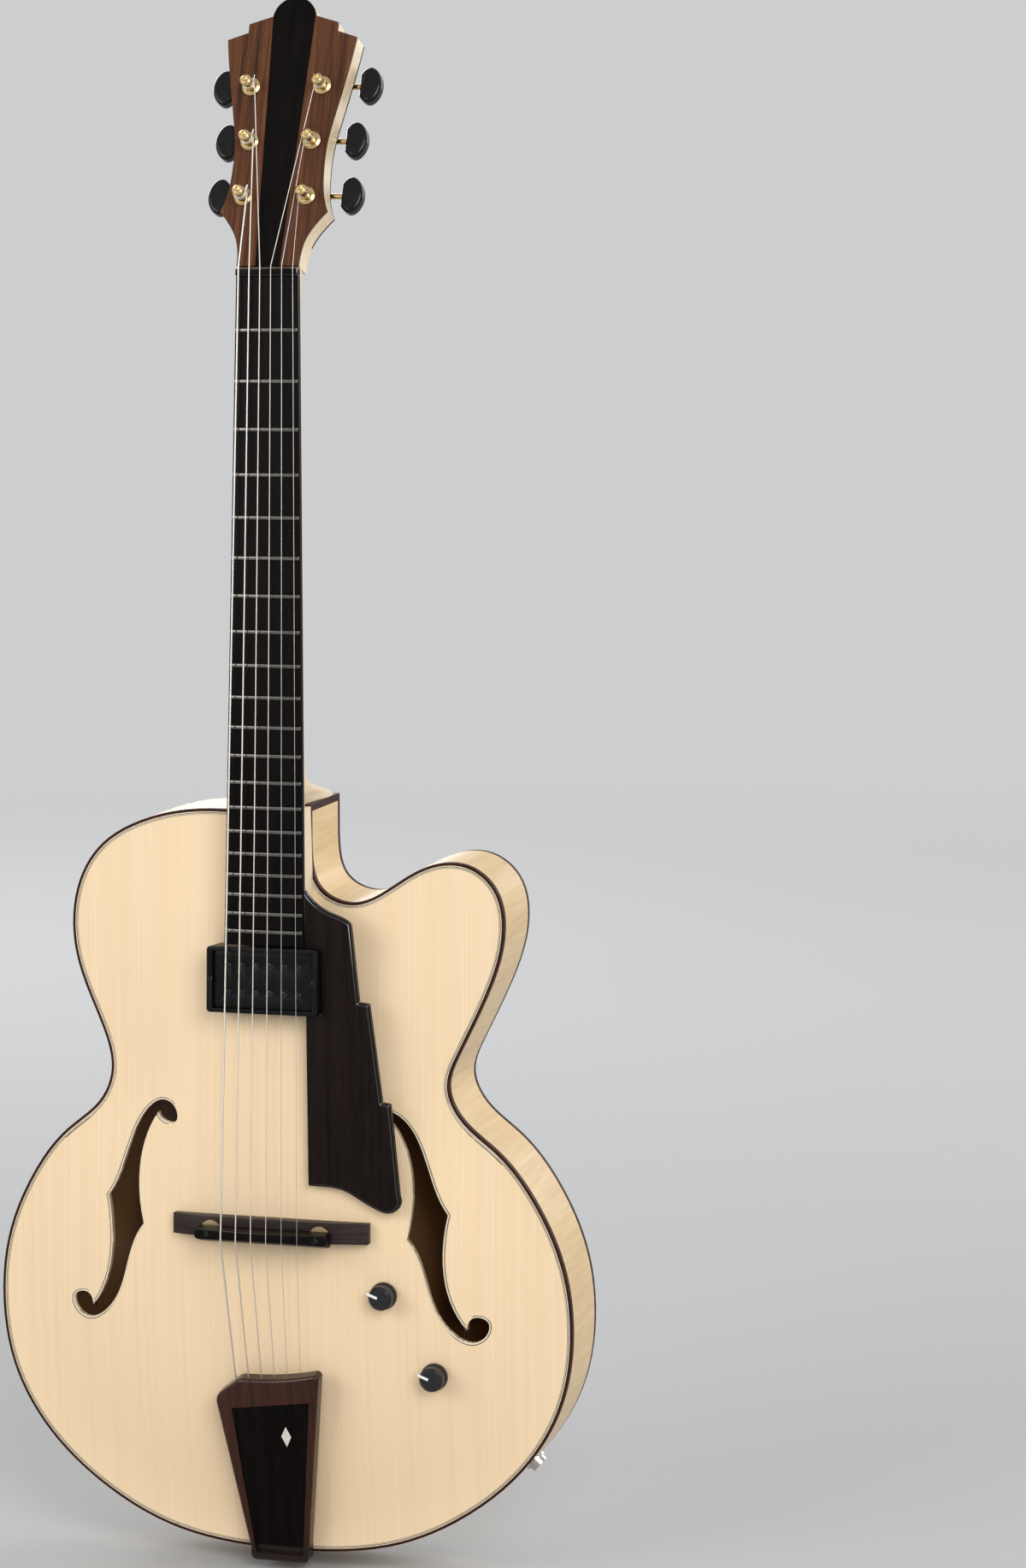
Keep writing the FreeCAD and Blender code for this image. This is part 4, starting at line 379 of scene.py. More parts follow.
def settle(piece, name, body, slot, *materials, replaces=()):
    """Puts a finished piece's place in its mesh and hands it to its body."""
    only(piece)
    bpy.ops.object.transform_apply(location=True, rotation=True, scale=True)
    piece.name = piece.data.name = name
    for material in materials:
        piece.data.materials.append(material)
    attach(piece, body)
    if replaces:
        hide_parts(*replaces)
    return piece


# Height at which the tailpiece's panel ends and its foot begins, and how softly they meet.
FOOT_TOP, FOOT_FADE = -861 * MM, 2 * MM


class GUITAR_OT_woods(bpy.types.Operator):
    """Gives the body, neck and dark woods their grain and lacquer"""

    bl_idname = "guitar.woods"
    bl_label = "Woods"

    def execute(self, context):
        lacquer = {"Roughness": 0.4, "Specular_IOR_Level": 0.35, "Coat_Weight": 0.2,
                   "Coat_Roughness": 0.12}
        dull = {"Roughness": 0.42, "Specular_IOR_Level": 0.1}
        gloss = {"Roughness": 0.36, "Specular_IOR_Level": 0.06, "Coat_Weight": 0.08,
                 "Coat_Roughness": 0.05}
        # Spruce, carved and lacquered: straight fine lines that mirror at the centre joint.
        # Its lines are about 1 mm apart; drawn 1.5 mm wide and soft, so that they show.
        spruce = wood("spruce_lacquered", "spruce", "spruce_line", (1.5 * MM, FAR, 0.4),
                      (9 * MM, FAR, 0.6), 0.4, 0.3, True, bump=0.00002, **lacquer)
        paint_nodes(spruce, "top_plate")
        # Maple, carved and lacquered: a fine flame that runs across the back.
        maple = wood("flamed_maple_lacquered", "maple", "maple_flame",
                     (40 * MM, FAR, 4.5 * MM), (25 * MM, FAR, 60 * MM), 0.35, 0.3, True,
                     twist=0.4, **lacquer)
        # Inside the body the same maple was never lacquered; its inward faces are painted deep
        # brown, as painted shade for the dark inside.
        inward = add(maple, "SeparateXYZ", {0: add(maple, "NewGeometry").outputs["Normal"]})
        painted_shade_inside = add(maple, "MapRange", {0: inward.outputs[1], 1: -0.1, 2: -0.3})
        tint(maple, painted_shade_inside.outputs[0], "inside_wood")
        paint_nodes(maple, "back_plate")
        # The same maple bent for the sides: its fine flame stands across the rim.
        side = wood("bent_maple_lacquered", "side_maple", "side_flame",
                    (4 * MM, 60 * MM, 4 * MM), (30 * MM, FAR, 30 * MM), 0.35, 0.26,
                    **lacquer)
        paint_nodes(side, "rim")
        # The neck's lacquer is rubbed to a shine by the hand: a narrow bright line along it.
        neck = wood("neck_maple_lacquered", "neck_maple", "neck_flame",
                    (30 * MM, 30 * MM, 5 * MM), (3 * MM, 6 * MM, 0.3), 0.45, 0.3,
                    Roughness=0.4, Specular_IOR_Level=0.4, Coat_Weight=0.5,
                    Coat_Roughness=0.08)
        paint_nodes(neck, "neck")
        # Spruce as sawn, inside the body: flat, without a shine, and painted brown as painted
        # shade for the dark inside.
        bare = wood("spruce_bare", "inside_wood", "binding", (2 * MM, FAR, 0.2),
                    (9 * MM, FAR, 0.4), Roughness=0.8, Specular_IOR_Level=0.2)
        paint_nodes(bare, "end_blocks", "linings", "tone_bars")
        # Rosewood bent and scraped flush: a thin dark brown line round the body.
        binding = wood("rosewood_binding_lacquered", "binding", "binding_streak",
                       (3 * MM, 20 * MM, 3 * MM), (14 * MM, FAR, 14 * MM), edge=0.4 * MM,
                       **dull)
        paint_nodes(binding, "top_binding", "back_binding", "heel_plate")
        # Ebony, planed and oiled: nearly black, with short darker pores along the grain.
        wood("ebony_oiled", "ebony", "ebony_streak", (0.7 * MM, FAR, 30 * MM),
             (5 * MM, FAR, 0.15), bump=0.00003, Roughness=0.42, Specular_IOR_Level=0.06)
        # Ebony, sanded and handled: its grain runs across, greyer than the board's.
        wood("ebony_dulled", "bridge_wood", "bridge_streak", (30 * MM, FAR, 0.7 * MM),
             (90 * MM, FAR, 4 * MM), Roughness=0.4, Specular_IOR_Level=0.15)
        # Ebony, veneered and polished: the deepest black, with hardly any sheen.
        polished = wood("ebony_polished", "ebony", "ebony_streak",
                        (0.7 * MM, FAR, 30 * MM), (6 * MM, FAR, 0.12), edge=0.35 * MM,
                        Roughness=0.36, Specular_IOR_Level=0.04, Coat_Weight=0.03,
                        Coat_Roughness=0.05)
        paint_nodes(polished, "headplate_stripe", "tailpiece_inlay")
        # Rosewood, veneered and lacquered: brown with dark lines and open pores.
        rosewood = wood("rosewood_lacquered", "rosewood", "rosewood_streak",
                        (0.8 * MM, FAR, 25 * MM), (5 * MM, FAR, 0.2), 0.55, 0.17,
                        edge=0.35 * MM, **dull)
        paint_nodes(rosewood, "headplate")
        # Rosewood, carved and polished: red-brown, with clear bright lines on its round edges.
        tail = wood("rosewood_carved_polished", "tail_wood", "tail_streak",
                    (0.8 * MM, FAR, 25 * MM), (4 * MM, FAR, 0.2), 0.55, 0.17, Roughness=0.3,
                    Specular_IOR_Level=0.12, Coat_Weight=0.45, Coat_Roughness=0.05)
        # The foot below the panel is stained as dark as the panel.
        height = add(tail, "SeparateXYZ", {0: add(tail, "TexCoord").outputs["Object"]})
        low = add(tail, "MapRange", {0: height.outputs[2], 1: FOOT_TOP, 2: FOOT_TOP - FOOT_FADE})
        tint(tail, low.outputs[0], "dark_wood")
        paint_nodes(tail, "tailpiece")
        # Dark rosewood, veneered and lacquered: near black, with brown lines up close.
        dark = wood("dark_rosewood_lacquered", "dark_wood", "dark_streak",
                    (0.8 * MM, FAR, 25 * MM), (6 * MM, FAR, 0.2), 0.55, 0.18, **gloss)
        paint_nodes(dark, "headstock_backplate")
        return {"FINISHED"}


class GUITAR_OT_hardware(bpy.types.Operator):
    """Gives metal and plastic parts their finish"""

    bl_idname = "guitar.hardware"
    bl_label = "Metal and plastic"

    def execute(self, context):
        # Gold plate, cast and polished: warm mirror with softly worn patches.
        gold = hard("gold_plate_polished", "gold", 8 * MM, 0.85,
                    edge=0.3 * MM, Metallic=1.0, Roughness=0.18)
        paint_nodes(gold, "tuner_bushings", "tuner_screws",
                    *["tuner_worm_%d" % k for k in range(1, 7)])
        # Brass, turned: duller than the gold, with fine turning lines.
        brass = hard("brass_turned", "brass", (6 * MM, 0.6 * MM, 6 * MM), 0.8, 0.00002,
                     0.25 * MM, Metallic=1.0, Roughness=0.3)
        paint_nodes(brass, "thumbwheel_bass", "thumbwheel_treble")
        # Nickel plate, polished: a bright, slightly warm mirror.
        nickel = hard("nickel_plate_polished", "nickel", 7 * MM, 0.85,
                      edge=0.3 * MM, Metallic=1.0, Roughness=0.2)
        paint_nodes(nickel, "output_jack", "strap_button", "tailpiece_screws",
                    "potentiometers", "pickguard_bracket")
        # Nickel silver wire, drawn: grey, worn smooth along the crown; the grey is darker than the
        # metal's own, a painted reflection of dark surroundings.
        frets = hard("nickel_silver_drawn", "fret_metal", (12 * MM, 2 * MM, 2 * MM), 0.8,
                     edge=0.25 * MM, Metallic=1.0, Roughness=0.22)
        paint_nodes(frets, "truss_rod")
        # Moulded plastic: an even black with a faint cloudy sheen from handling.
        hard("abs_moulded_satin", "black_plastic", 9 * MM, 0.75, 0.00003,
             Roughness=0.34, Specular_IOR_Level=0.15)
        # Polished edges of guard, nut, saddle and ring: a thin bright line in raking light.
        hard("black_edge_polished", "black_plastic", 9 * MM, 0.75,
             Roughness=0.12, Coat_Weight=1.0, Coat_Roughness=0.08)
        # Edges of the pickup's cover, painted greyer than its faces: a painted highlight along
        # them.
        hard("black_edge_worn", "edge_wear", 5 * MM, 0.6, Roughness=0.2,
             Coat_Weight=0.6, Coat_Roughness=0.1)
        # Knobs, moulded satin: a softer black with a faint blue cast.
        knobs = hard("knobs_moulded_satin", "knob_plastic", 4 * MM, 0.8,
                     edge=0.5 * MM, Roughness=0.3, Specular_IOR_Level=0.3)
        paint_nodes(knobs, "volume_knob", "tone_knob")
        # Buttons, moulded and polished: black with a clear glint on the rounded edge.
        buttons = hard("buttons_moulded_polished", "button_plastic",
                       (5 * MM, 5 * MM, 12 * MM), 0.6, edge=0.5 * MM, Roughness=0.25,
                       Specular_IOR_Level=0.15, Coat_Weight=0.25, Coat_Roughness=0.1)
        paint_nodes(buttons, *["tuner_button_%d" % k for k in range(1, 7)])
        # Steel, blackened: dark grey metal with a dull shine.
        steel = hard("black_oxide_steel", "black_steel", 3 * MM, 0.7,
                     edge=0.2 * MM, Metallic=1.0, Roughness=0.32)
        paint_nodes(steel, "bridge_studs")
        # Steel rims of the poles and screws, painted brighter than their black caps: painted
        # highlights, small bright points in the black.
        hard("pole_steel_polished", "pole_steel", 2 * MM, 0.7, Metallic=1.0,
             Roughness=0.16)
        return {"FINISHED"}


ACROSS = Vector((1, 0, 0))


def leaning(degrees):
    """The ways out of and up along a face that leans back by an angle."""
    lean = math.radians(degrees)
    out = Vector((0, -math.cos(lean), math.sin(lean)))
    return out, out.cross(ACROSS)


NECK_TILT, HEAD_TILT = 3.45, 20.45
NECK_OUT, NECK_UP = leaning(NECK_TILT)
HEAD_OUT, HEAD_UP = leaning(HEAD_TILT)
# Lengths of the strings' run are in mm. Diameters, bass first; the first four are wound.
DIAMETERS = (1.32, 1.07, 0.81, 0.61, 0.43, 0.33)
WOUND = 4
# Spread at nut, saddle and tailpiece, and the round of the board that nut and saddle follow.
NUT_SPREAD, SADDLE_SPREAD, TAIL_SPREAD = 37.6, 54.0, 46.8
BOARD_RADIUS = 305.0
# How far nut and saddle hold the strings above the board's crown, and where along the neck.
NUT_LIFT, NUT_PLACE = 1.9, 6.4
SADDLE_LIFT, SADDLE_PLACE = 6.62, -644.7
# Y and Z at which the strings enter the tailpiece, and how far they go in.
TAIL_ENTRY = (-30.58, -736.62)
TAIL_DEPTH = 9.0
# How far the head's face lies behind the board's, and each string's post: up the head, across.
HEAD_STEP = 2.0
POSTS = ((55.0, -22.0), (94.0, -21.8), (133.0, -25.0), (133.0, 25.0), (94.0, 21.8), (55.0, 22.0))
# The drawn turns of a wound string, the turns on a post, the free end and the run at a corner.
WINDING = 0.9
POST_RADIUS = 3.0
WRAP_SPACE = 0.4
WRAP_HEIGHT = 6.6
WRAP_PITCH = 0.62
WRAP_TURNS = 2
WRAP_STEPS = 12
TAIL = 5.0
CORNER = 3.0


def string_route(k):
    """Points of one string from the tailpiece over saddle and nut to its turns on the post."""
    width = DIAMETERS[k]
    share = k / (len(DIAMETERS) - 1) - 0.5

    def crossing(spread, lift, place):
        away = spread * share
        crown = math.sqrt(BOARD_RADIUS ** 2 - away ** 2) - BOARD_RADIUS
        return ACROSS * away + NECK_OUT * (lift + crown + width / 2) + NECK_UP * place

    saddle = crossing(SADDLE_SPREAD, SADDLE_LIFT, SADDLE_PLACE)
    nut = crossing(NUT_SPREAD, NUT_LIFT, NUT_PLACE)
    entry = Vector((TAIL_SPREAD * share, *TAIL_ENTRY))
    anchor = entry + (entry - saddle).normalized() * TAIL_DEPTH
    row, column = POSTS[k]
    post = HEAD_UP * row + ACROSS * column - NECK_OUT * HEAD_STEP
    side = math.copysign(1, post.x)
    reach = POST_RADIUS + WRAP_SPACE + width / 2
    rise = WRAP_HEIGHT + width / 2
    pitch = width + WRAP_PITCH
    out = nut - post
    across, up = out.dot(ACROSS), out.dot(HEAD_UP)
    start = math.atan2(up, across) - side * math.acos(reach / math.hypot(across, up))

    def on_post(turns):
        angle = start - side * turns * math.tau
        return (post + ACROSS * reach * math.cos(angle) + HEAD_UP * reach * math.sin(angle)
                + HEAD_OUT * (rise + pitch * turns))

    first, last = on_post(0), on_post(WRAP_TURNS)
    points = [anchor]
    for before, corner, after in ((anchor, saddle, nut), (saddle, nut, first)):
        points += [corner + (before - corner).normalized() * CORNER, corner,
                   corner + (after - corner).normalized() * CORNER]
    points.append(first + (nut - first).normalized() * CORNER)
    points += [on_post(k / WRAP_STEPS) for k in range(WRAP_STEPS * WRAP_TURNS + 1)]
    away = last - on_post(WRAP_TURNS - 1 / WRAP_STEPS)
    points += [last + away.normalized() * TAIL * share for share in (0.5, 1.0)]
    return points


class GUITAR_OT_strings(bpy.types.Operator):
    """Runs each string from the tailpiece over saddle and nut and winds it on its post"""

    bl_idname = "guitar.strings"
    bl_label = "Strings"

    def execute(self, context):
        # Steel core with a drawn wire wound round it: the turns glint as fine cross lines, with
        # painted shade darkening the grooves between them.
        # They are under 0.3 mm apart; drawn 0.9 mm apart, so that they show close up.
        wound, shader = blank("nickel_wound_string", Metallic=1.0, Roughness=0.42)
        place = add(wound, "TexCoord").outputs["Object"]
        turns = add(wound, "TexWave", {"Vector": place, "Scale": math.tau / 20 / (WINDING * MM)},
                    bands_direction="Z").outputs[1]
        dark = [c * 0.7 for c in colour("winding")[:3]] + [1.0]
        tone = add(wound, "Mix", {0: turns, 6: dark, 7: colour("winding")},
                   data_type="RGBA")
        wound.node_tree.links.new(tone.outputs[2], shader.inputs["Base Color"])
        relief(wound, shader, turns, 0.00006, 0)
        # Drawn steel wire: thin, even and bright.
        plain = hard("steel_string_drawn", "string_steel", (9 * MM, 9 * MM, 0.2), 0.93,
                     Metallic=1.0, Roughness=0.3)
        for k, width in enumerate(DIAMETERS):
            curve = bpy.data.curves.new("string", "CURVE")
            curve.dimensions = "3D"
            line = curve.splines.new("NURBS")
            points = string_route(k)
            line.points.add(len(points) - 1)
            for point, spot in zip(line.points, points):
                point.co = (*(spot * MM), 1.0)
            line.order_u = 3
            line.use_endpoint_u = True
            line.resolution_u = 4
            curve.bevel_depth = width / 2 * MM
            curve.bevel_resolution = 2
            curve.use_fill_caps = True
            new_piece("string", curve)
            bpy.ops.object.convert(target="MESH")
            string = context.object
            bpy.ops.object.shade_smooth()
            settle(string, "string_%d" % (k + 1), "guitar", "fret_metal",
                   wound if k < WOUND else plain,
                   replaces=["wound_strings" if k < WOUND else "plain_strings"])
        return {"FINISHED"}


# Lines inside the brown binding, from the rim inwards: width in shares of one line, material.
LINES = ((0.8, "black"), (1.1, "pale"), (1.0, "black"), (0.9, "pale"), (0.5, "black"))
LINE_REACH, LINE_DEPTH = 3 * MM, 0.4 * MM


class GUITAR_OT_binding(bpy.types.Operator):
    """Lays the brown binding and its fine black and pale lines round top and back"""

    bl_idname = "guitar.binding"
    bl_label = "Binding lines"

    def execute(self, context):
        brown = bpy.data.materials["rosewood_binding_lacquered"]
        # Veneer strips, scraped and lacquered: thin pale and black lines.
        shades = {
            shade: wood(name, light, dark, (4 * MM, FAR, 4 * MM), (20 * MM, FAR, 20 * MM),
                        Roughness=0.35, Coat_Weight=0.35, Coat_Roughness=0.08)
            for shade, name, light, dark in (
                ("pale", "maple_line_lacquered", "line_pale", "maple_flame"),
                ("black", "dyed_line_lacquered", "line_black", "ebony_streak"))}
        bands = [(size("binding_width"), brown)]
        bands += [(size("line_width") * share, shades[shade]) for share, shade in LINES]
        for node, plate, side, name in (("top_binding", "top_plate", -1, "front_lines"),
                                        ("back_binding", "back_plate", 1, "back_lines")):
            strip = merged_copy(node, name)
            choose(strip, lambda face: face.normal.y * side < 0.9)
            bpy.ops.mesh.delete(type="FACE")
            leave_edit()
            uses = Counter(key for face in strip.data.polygons for key in face.edge_keys)
            choose(strip, lambda edge: uses[edge.key] > 1, "EDGE")
            bpy.ops.mesh.delete(type="EDGE_FACE")
            bpy.ops.mesh.separate(type="LOOSE")
            leave_edit()
            loops = sorted(context.selected_objects, key=lambda loop: loop.dimensions.x)
            strip = loops.pop()
            for loop in loops:
                bpy.data.objects.remove(loop)
            for _, material in bands:
                strip.data.materials.append(material)
            choose(strip, kind="EDGE")
            bpy.ops.mesh.edge_face_add()
            leave_edit()
            if len(strip.data.polygons) != 1:
                raise RuntimeError("the binding's outer edge doesn't close")
            face_towards(strip, Vector((0, side, 0)))
            choose(strip)
            bpy.ops.transform.translate(value=(0, side * size("line_lift") / 2, 0))
            for k, (width, _) in enumerate(bands):
                strip.active_material_index = k
                bpy.ops.object.material_slot_assign()
                bpy.ops.mesh.inset(thickness=width, depth=0)
            bpy.ops.mesh.delete(type="FACE")
            leave_edit()
            apply(strip, "SHRINKWRAP", target=NODES[plate], wrap_method="PROJECT",
                  use_project_y=True, use_negative_direction=True,
                  use_positive_direction=True, project_limit=LINE_REACH,
                  wrap_mode="ABOVE_SURFACE", offset=size("line_lift"))
            apply(strip, "SOLIDIFY", thickness=LINE_DEPTH, offset=-1)
            settle(strip, name, "guitar", "wood_binding")
        return {"FINISHED"}


# Where the sound holes lie: from and to, out from the middle and up the body, and how near
# to the volume control's own hole the search stops.
HOLES_OUT = (60 * MM, 156 * MM)
HOLES_UP = (-716 * MM, -551 * MM)
SHAFT_CLEAR = 7 * MM


class GUITAR_OT_sound_holes(bpy.types.Operator):
    """Lines both sound holes with pale edging and a black line"""

    bl_idname = "guitar.sound_holes"
    bl_label = "Sound-hole edging"

    def execute(self, context):
        knob_low, knob_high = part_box("volume_knob")
        shaft = (knob_low + knob_high) / 2

        def wall(face):
            spot = face.center
            near_shaft = math.hypot(spot.x - shaft.x, spot.z - shaft.z) < SHAFT_CLEAR
            return (abs(face.normal.y) < 0.5 and HOLES_OUT[0] < abs(spot.x) < HOLES_OUT[1]
                    and HOLES_UP[0] < spot.z < HOLES_UP[1] and not near_shaft)

        for name, start, width, lift, material in (
                ("hole_edging", 0.0, size("edging_pale"), size("edging_lift"),
                 "maple_line_lacquered"),
                ("hole_line", size("edging_pale") * 0.95, size("edging_black"),
                 size("edging_lift") * 0.8, "dyed_line_lacquered")):
            edging = merged_copy("top_plate", name)
            choose(edging, lambda face: not wall(face))
            bpy.ops.mesh.delete(type="FACE")
            bpy.ops.mesh.select_all(action="SELECT")
            bpy.ops.transform.translate(value=(0, -lift, 0))
            if start:
                bpy.ops.transform.shrink_fatten(value=-start, use_even_offset=True)
            leave_edit()
            if not edging.data.polygons:
                raise RuntimeError("no sound-hole walls were found")
            apply(edging, "SOLIDIFY", thickness=width, offset=-1, use_even_offset=True)
            settle(edging, name, "guitar", "wood_binding", bpy.data.materials[material])
        return {"FINISHED"}


# One row for each part that gets rounded edges: CAD node, body, slot, material of its faces,
# material of its edges, width in mm.
ROUNDED = (
    ("pickguard", "guitar", "dark_rosewood", "dark_rosewood_lacquered",
     "black_edge_polished", 1.2),
    ("fingerboard", "guitar", "ebony", "ebony_oiled", "ebony_oiled", 0.5),
    ("nut", "guitar", "ebony", "ebony_polished", "black_edge_polished", 0.5),
    ("frets", "guitar", "fret_metal", "nickel_silver_drawn", "nickel_silver_drawn", 0.55),
    ("bridge_base", "guitar", "ebony", "ebony_dulled", "ebony_dulled", 0.7),
    ("bridge_saddle", "saddle", "ebony", "ebony_oiled", "black_edge_polished", 0.6),
    ("pickup_ring", "guitar", "black_plastic", "abs_moulded_satin", "black_edge_polished", 0.6),
    ("pickup_cover", "pickup", "black_plastic", "abs_moulded_satin", "black_edge_worn", 0.9),
)


class GUITAR_OT_rounding(bpy.types.Operator):
    """Rounds the sharp edges of guard, board, bridge and pickup, as a maker's file does"""

    bl_idname = "guitar.rounding"
    bl_label = "Rounded edges"

    def execute(self, context):
        for node, body, slot, faces, edges, width in ROUNDED:
            piece = merged_copy(node, node)
            flatten(piece)
            for material in (faces, edges):
                piece.data.materials.append(bpy.data.materials[material])
            if node == "bridge_saddle":
                round_ends(piece)
            soften(piece, width * MM, 40, 3, 1)
            settle(joined([piece]), node + "_rounded", body, slot, replaces=[node])
        return {"FINISHED"}


LOBE = 2.4 * MM


def round_ends(saddle):
    """Rounds the saddle's four upright corners, so that it ends in lobes round its studs."""
    reach = max(corner.co.x for corner in saddle.data.vertices)

    def upright(edge):
        ends = [saddle.data.vertices[v].co for v in edge.vertices]
        run = ends[1] - ends[0]
        return (all(abs(end.x) > reach - NEAR for end in ends)
                and abs(run.y) > 0.8 * run.length)

    choose(saddle, upright, "EDGE")
    bpy.ops.mesh.bevel(offset=LOBE, segments=6, affect="EDGES")
    leave_edit()


# One row for each part whose heads are cut: CAD node, body, and the turn in degrees from
# each head's slot to the next.
HEADS = (("pickup_poles", "pickup", 37), ("pickup_screw_bass", "screw_bass", 0),
         ("pickup_screw_treble", "screw_treble", 0))
HEAD_EDGE = 0.5 * MM
FIRST_SLOT = 30
BLADE = 12 * MM


class GUITAR_OT_heads(bpy.types.Operator):
    """Domes the heads of pole pieces and height screws and cuts a slot in each"""

    bl_idname = "guitar.heads"
    bl_label = "Slotted heads"

    def execute(self, context):
        wide, deep, out = size("slot_width"), size("slot_depth"), NECK_OUT
        for node, body, turn in HEADS:
            whole = merged_copy(node, node)
            for material in ("black_oxide_steel", "pole_steel_polished"):
                whole.data.materials.append(bpy.data.materials[material])
            # The rounded rims take the brighter steel: a painted highlight round each head.
            soften(whole, HEAD_EDGE, 50, 3, 1)
            parts = loose_parts(whole)
            for k, part in enumerate(parts):
                spots = [corner.co for corner in part.data.vertices]
                level = max(spot.dot(out) for spot in spots)
                cap = [spot for spot in spots if spot.dot(out) > level - NEAR / 2]
                middle = sum(cap, Vector()) / len(cap)
                along = out.orthogonal().normalized()
                along.rotate(Matrix.Rotation(math.radians(FIRST_SLOT + turn * k), 3, out))
                bpy.ops.object.select_all(action="DESELECT")
                bpy.ops.mesh.primitive_cube_add(
                    size=1, location=middle,
                    rotation=Matrix((along, out.cross(along), out)).transposed().to_euler())
                blade = context.object
                blade.scale = (BLADE, wide, 2 * deep)
                apply(part, "BOOLEAN", object=blade, operation="DIFFERENCE", solver="EXACT")
                bpy.data.objects.remove(blade)
            settle(joined(parts), node + "_slotted", body, "black_steel", replaces=[node])
        return {"FINISHED"}


# Steps of a post's end, from its edge inwards, in mm: width, and rise or drop.
POST_STEPS = ((0.45, 0.35), (0.75, 0.0), (0.35, -0.9))
POST_EDGE = 0.2 * MM


class GUITAR_OT_posts(bpy.types.Operator):
    """Rounds each tuner post's end and sinks a hollow in it"""

    bl_idname = "guitar.posts"
    bl_label = "Tuner posts"

    def execute(self, context):
        gold = bpy.data.materials["gold_plate_polished"]
        for k in range(1, 7):
            node = "tuner_post_%d" % k
            post = merged_copy(node, node)
            flatten(post)
            level = max(face.center.dot(HEAD_OUT) for face in post.data.polygons)
            choose(post, lambda face: face.center.dot(HEAD_OUT) > level - NEAR / 2)
            for across, rise in POST_STEPS:
                bpy.ops.mesh.inset(thickness=across * MM, depth=rise * MM)
            leave_edit()
            soften(post, POST_EDGE, 35, 2)
            bpy.ops.object.shade_smooth_by_angle(angle=math.radians(35))
            settle(post, node + "_turned", "post_%d" % k, "gold_plate", gold, replaces=[node])
        return {"FINISHED"}


# Roundings of the barrel's top, of its step as a share of its rise, and of all other edges,
# and the slope at the field's edge as a share of its border.
BARREL_ROUND = 3.2 * MM
STEP_SHARE = 0.9
HOUSING_EDGE = 0.3 * MM
SLOPE_SHARE = 0.2


def shape_housing(housing, worms):
    """Raises a rounded barrel over the worm of one housing and sinks a field below it."""
    back = -HEAD_OUT
    rise, border = size("barrel_rise"), size("field_border")
    spots = [corner.co.copy() for corner in housing.data.vertices]
    middle = sum(spots, Vector()) / len(spots)
    worm = min((spot for spot in worms if spot.x * middle.x > 0),
               key=lambda spot: abs(spot.z - middle.z))
    level = max(spot.dot(back) for spot in spots)
    top = max(spot.dot(HEAD_UP) for spot in spots)
    split = worm.dot(HEAD_UP) - size("barrel_height") / 2
    choose(housing)
    bpy.ops.mesh.bisect(plane_co=HEAD_UP * split, plane_no=HEAD_UP)
    leave_edit()

    def outer(face, upper):
        return (face.normal.dot(back) > 0.99 and face.center.dot(back) > level - NEAR
                and (face.center.dot(HEAD_UP) > split) == upper)

    def ridge(edge, height):
        ends = [housing.data.vertices[v].co for v in edge.vertices]
        return all(end.dot(back) > level + rise * STEP_SHARE
                   and abs(end.dot(HEAD_UP) - height) < NEAR for end in ends)

    choose(housing, lambda face: outer(face, True))
    bpy.ops.mesh.extrude_region_move(TRANSFORM_OT_translate={"value": back * rise})
    flatten(housing)
    for height, width in ((top, BARREL_ROUND), (split, rise * STEP_SHARE)):
        choose(housing, lambda edge: ridge(edge, height), "EDGE")
        bpy.ops.mesh.bevel(offset=width, segments=6, affect="EDGES")
        leave_edit()
    choose(housing, lambda face: outer(face, False))
    bpy.ops.mesh.inset(thickness=border, depth=0)
    bpy.ops.mesh.inset(thickness=border * SLOPE_SHARE, depth=-size("field_depth"))
    housing.active_material_index = 1
    bpy.ops.object.material_slot_assign()
    leave_edit()
    soften(housing, HOUSING_EDGE, 40, 2)


class GUITAR_OT_housings(bpy.types.Operator):
    """Gives each tuner housing its barrel over the worm and its engraved field"""

    bl_idname = "guitar.housings"
    bl_label = "Tuner housings"

    def execute(self, context):
        # Engraved gold: a darker field inside a bright border, with cuts that glitter.
        engraved = hard("gold_plate_engraved", "gold_field", 1.2 * MM,
                        0.4, 0.0003, Metallic=1.0, Roughness=0.35)
        worms = [sum(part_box("tuner_worm_%d" % k), Vector()) / 2 for k in range(1, 7)]
        whole = merged_copy("tuner_housings", "tuner_housings")
        for material in (bpy.data.materials["gold_plate_polished"], engraved):
            whole.data.materials.append(material)
        flatten(whole)
        parts = loose_parts(whole)
        if len(parts) != len(worms):
            raise RuntimeError("the tuner housings don't come apart")
        for part in parts:
            shape_housing(part, worms)
        settle(joined(parts), "tuner_housings_engraved", "guitar", "gold_plate",
               replaces=["tuner_housings"])
        return {"FINISHED"}


# The pointer's turn from level in degrees, where it begins and ends on the knob's top in
# shares of its radius, and the points it then runs through: shares of radius and height.
POINTER_TURN = 20
POINTER_TOP = (0.17, 0.7)
POINTER_PATH = ((0.85, 0.01), (1.02, 0.05), (1.09, 0.17), (1.09, 0.42))


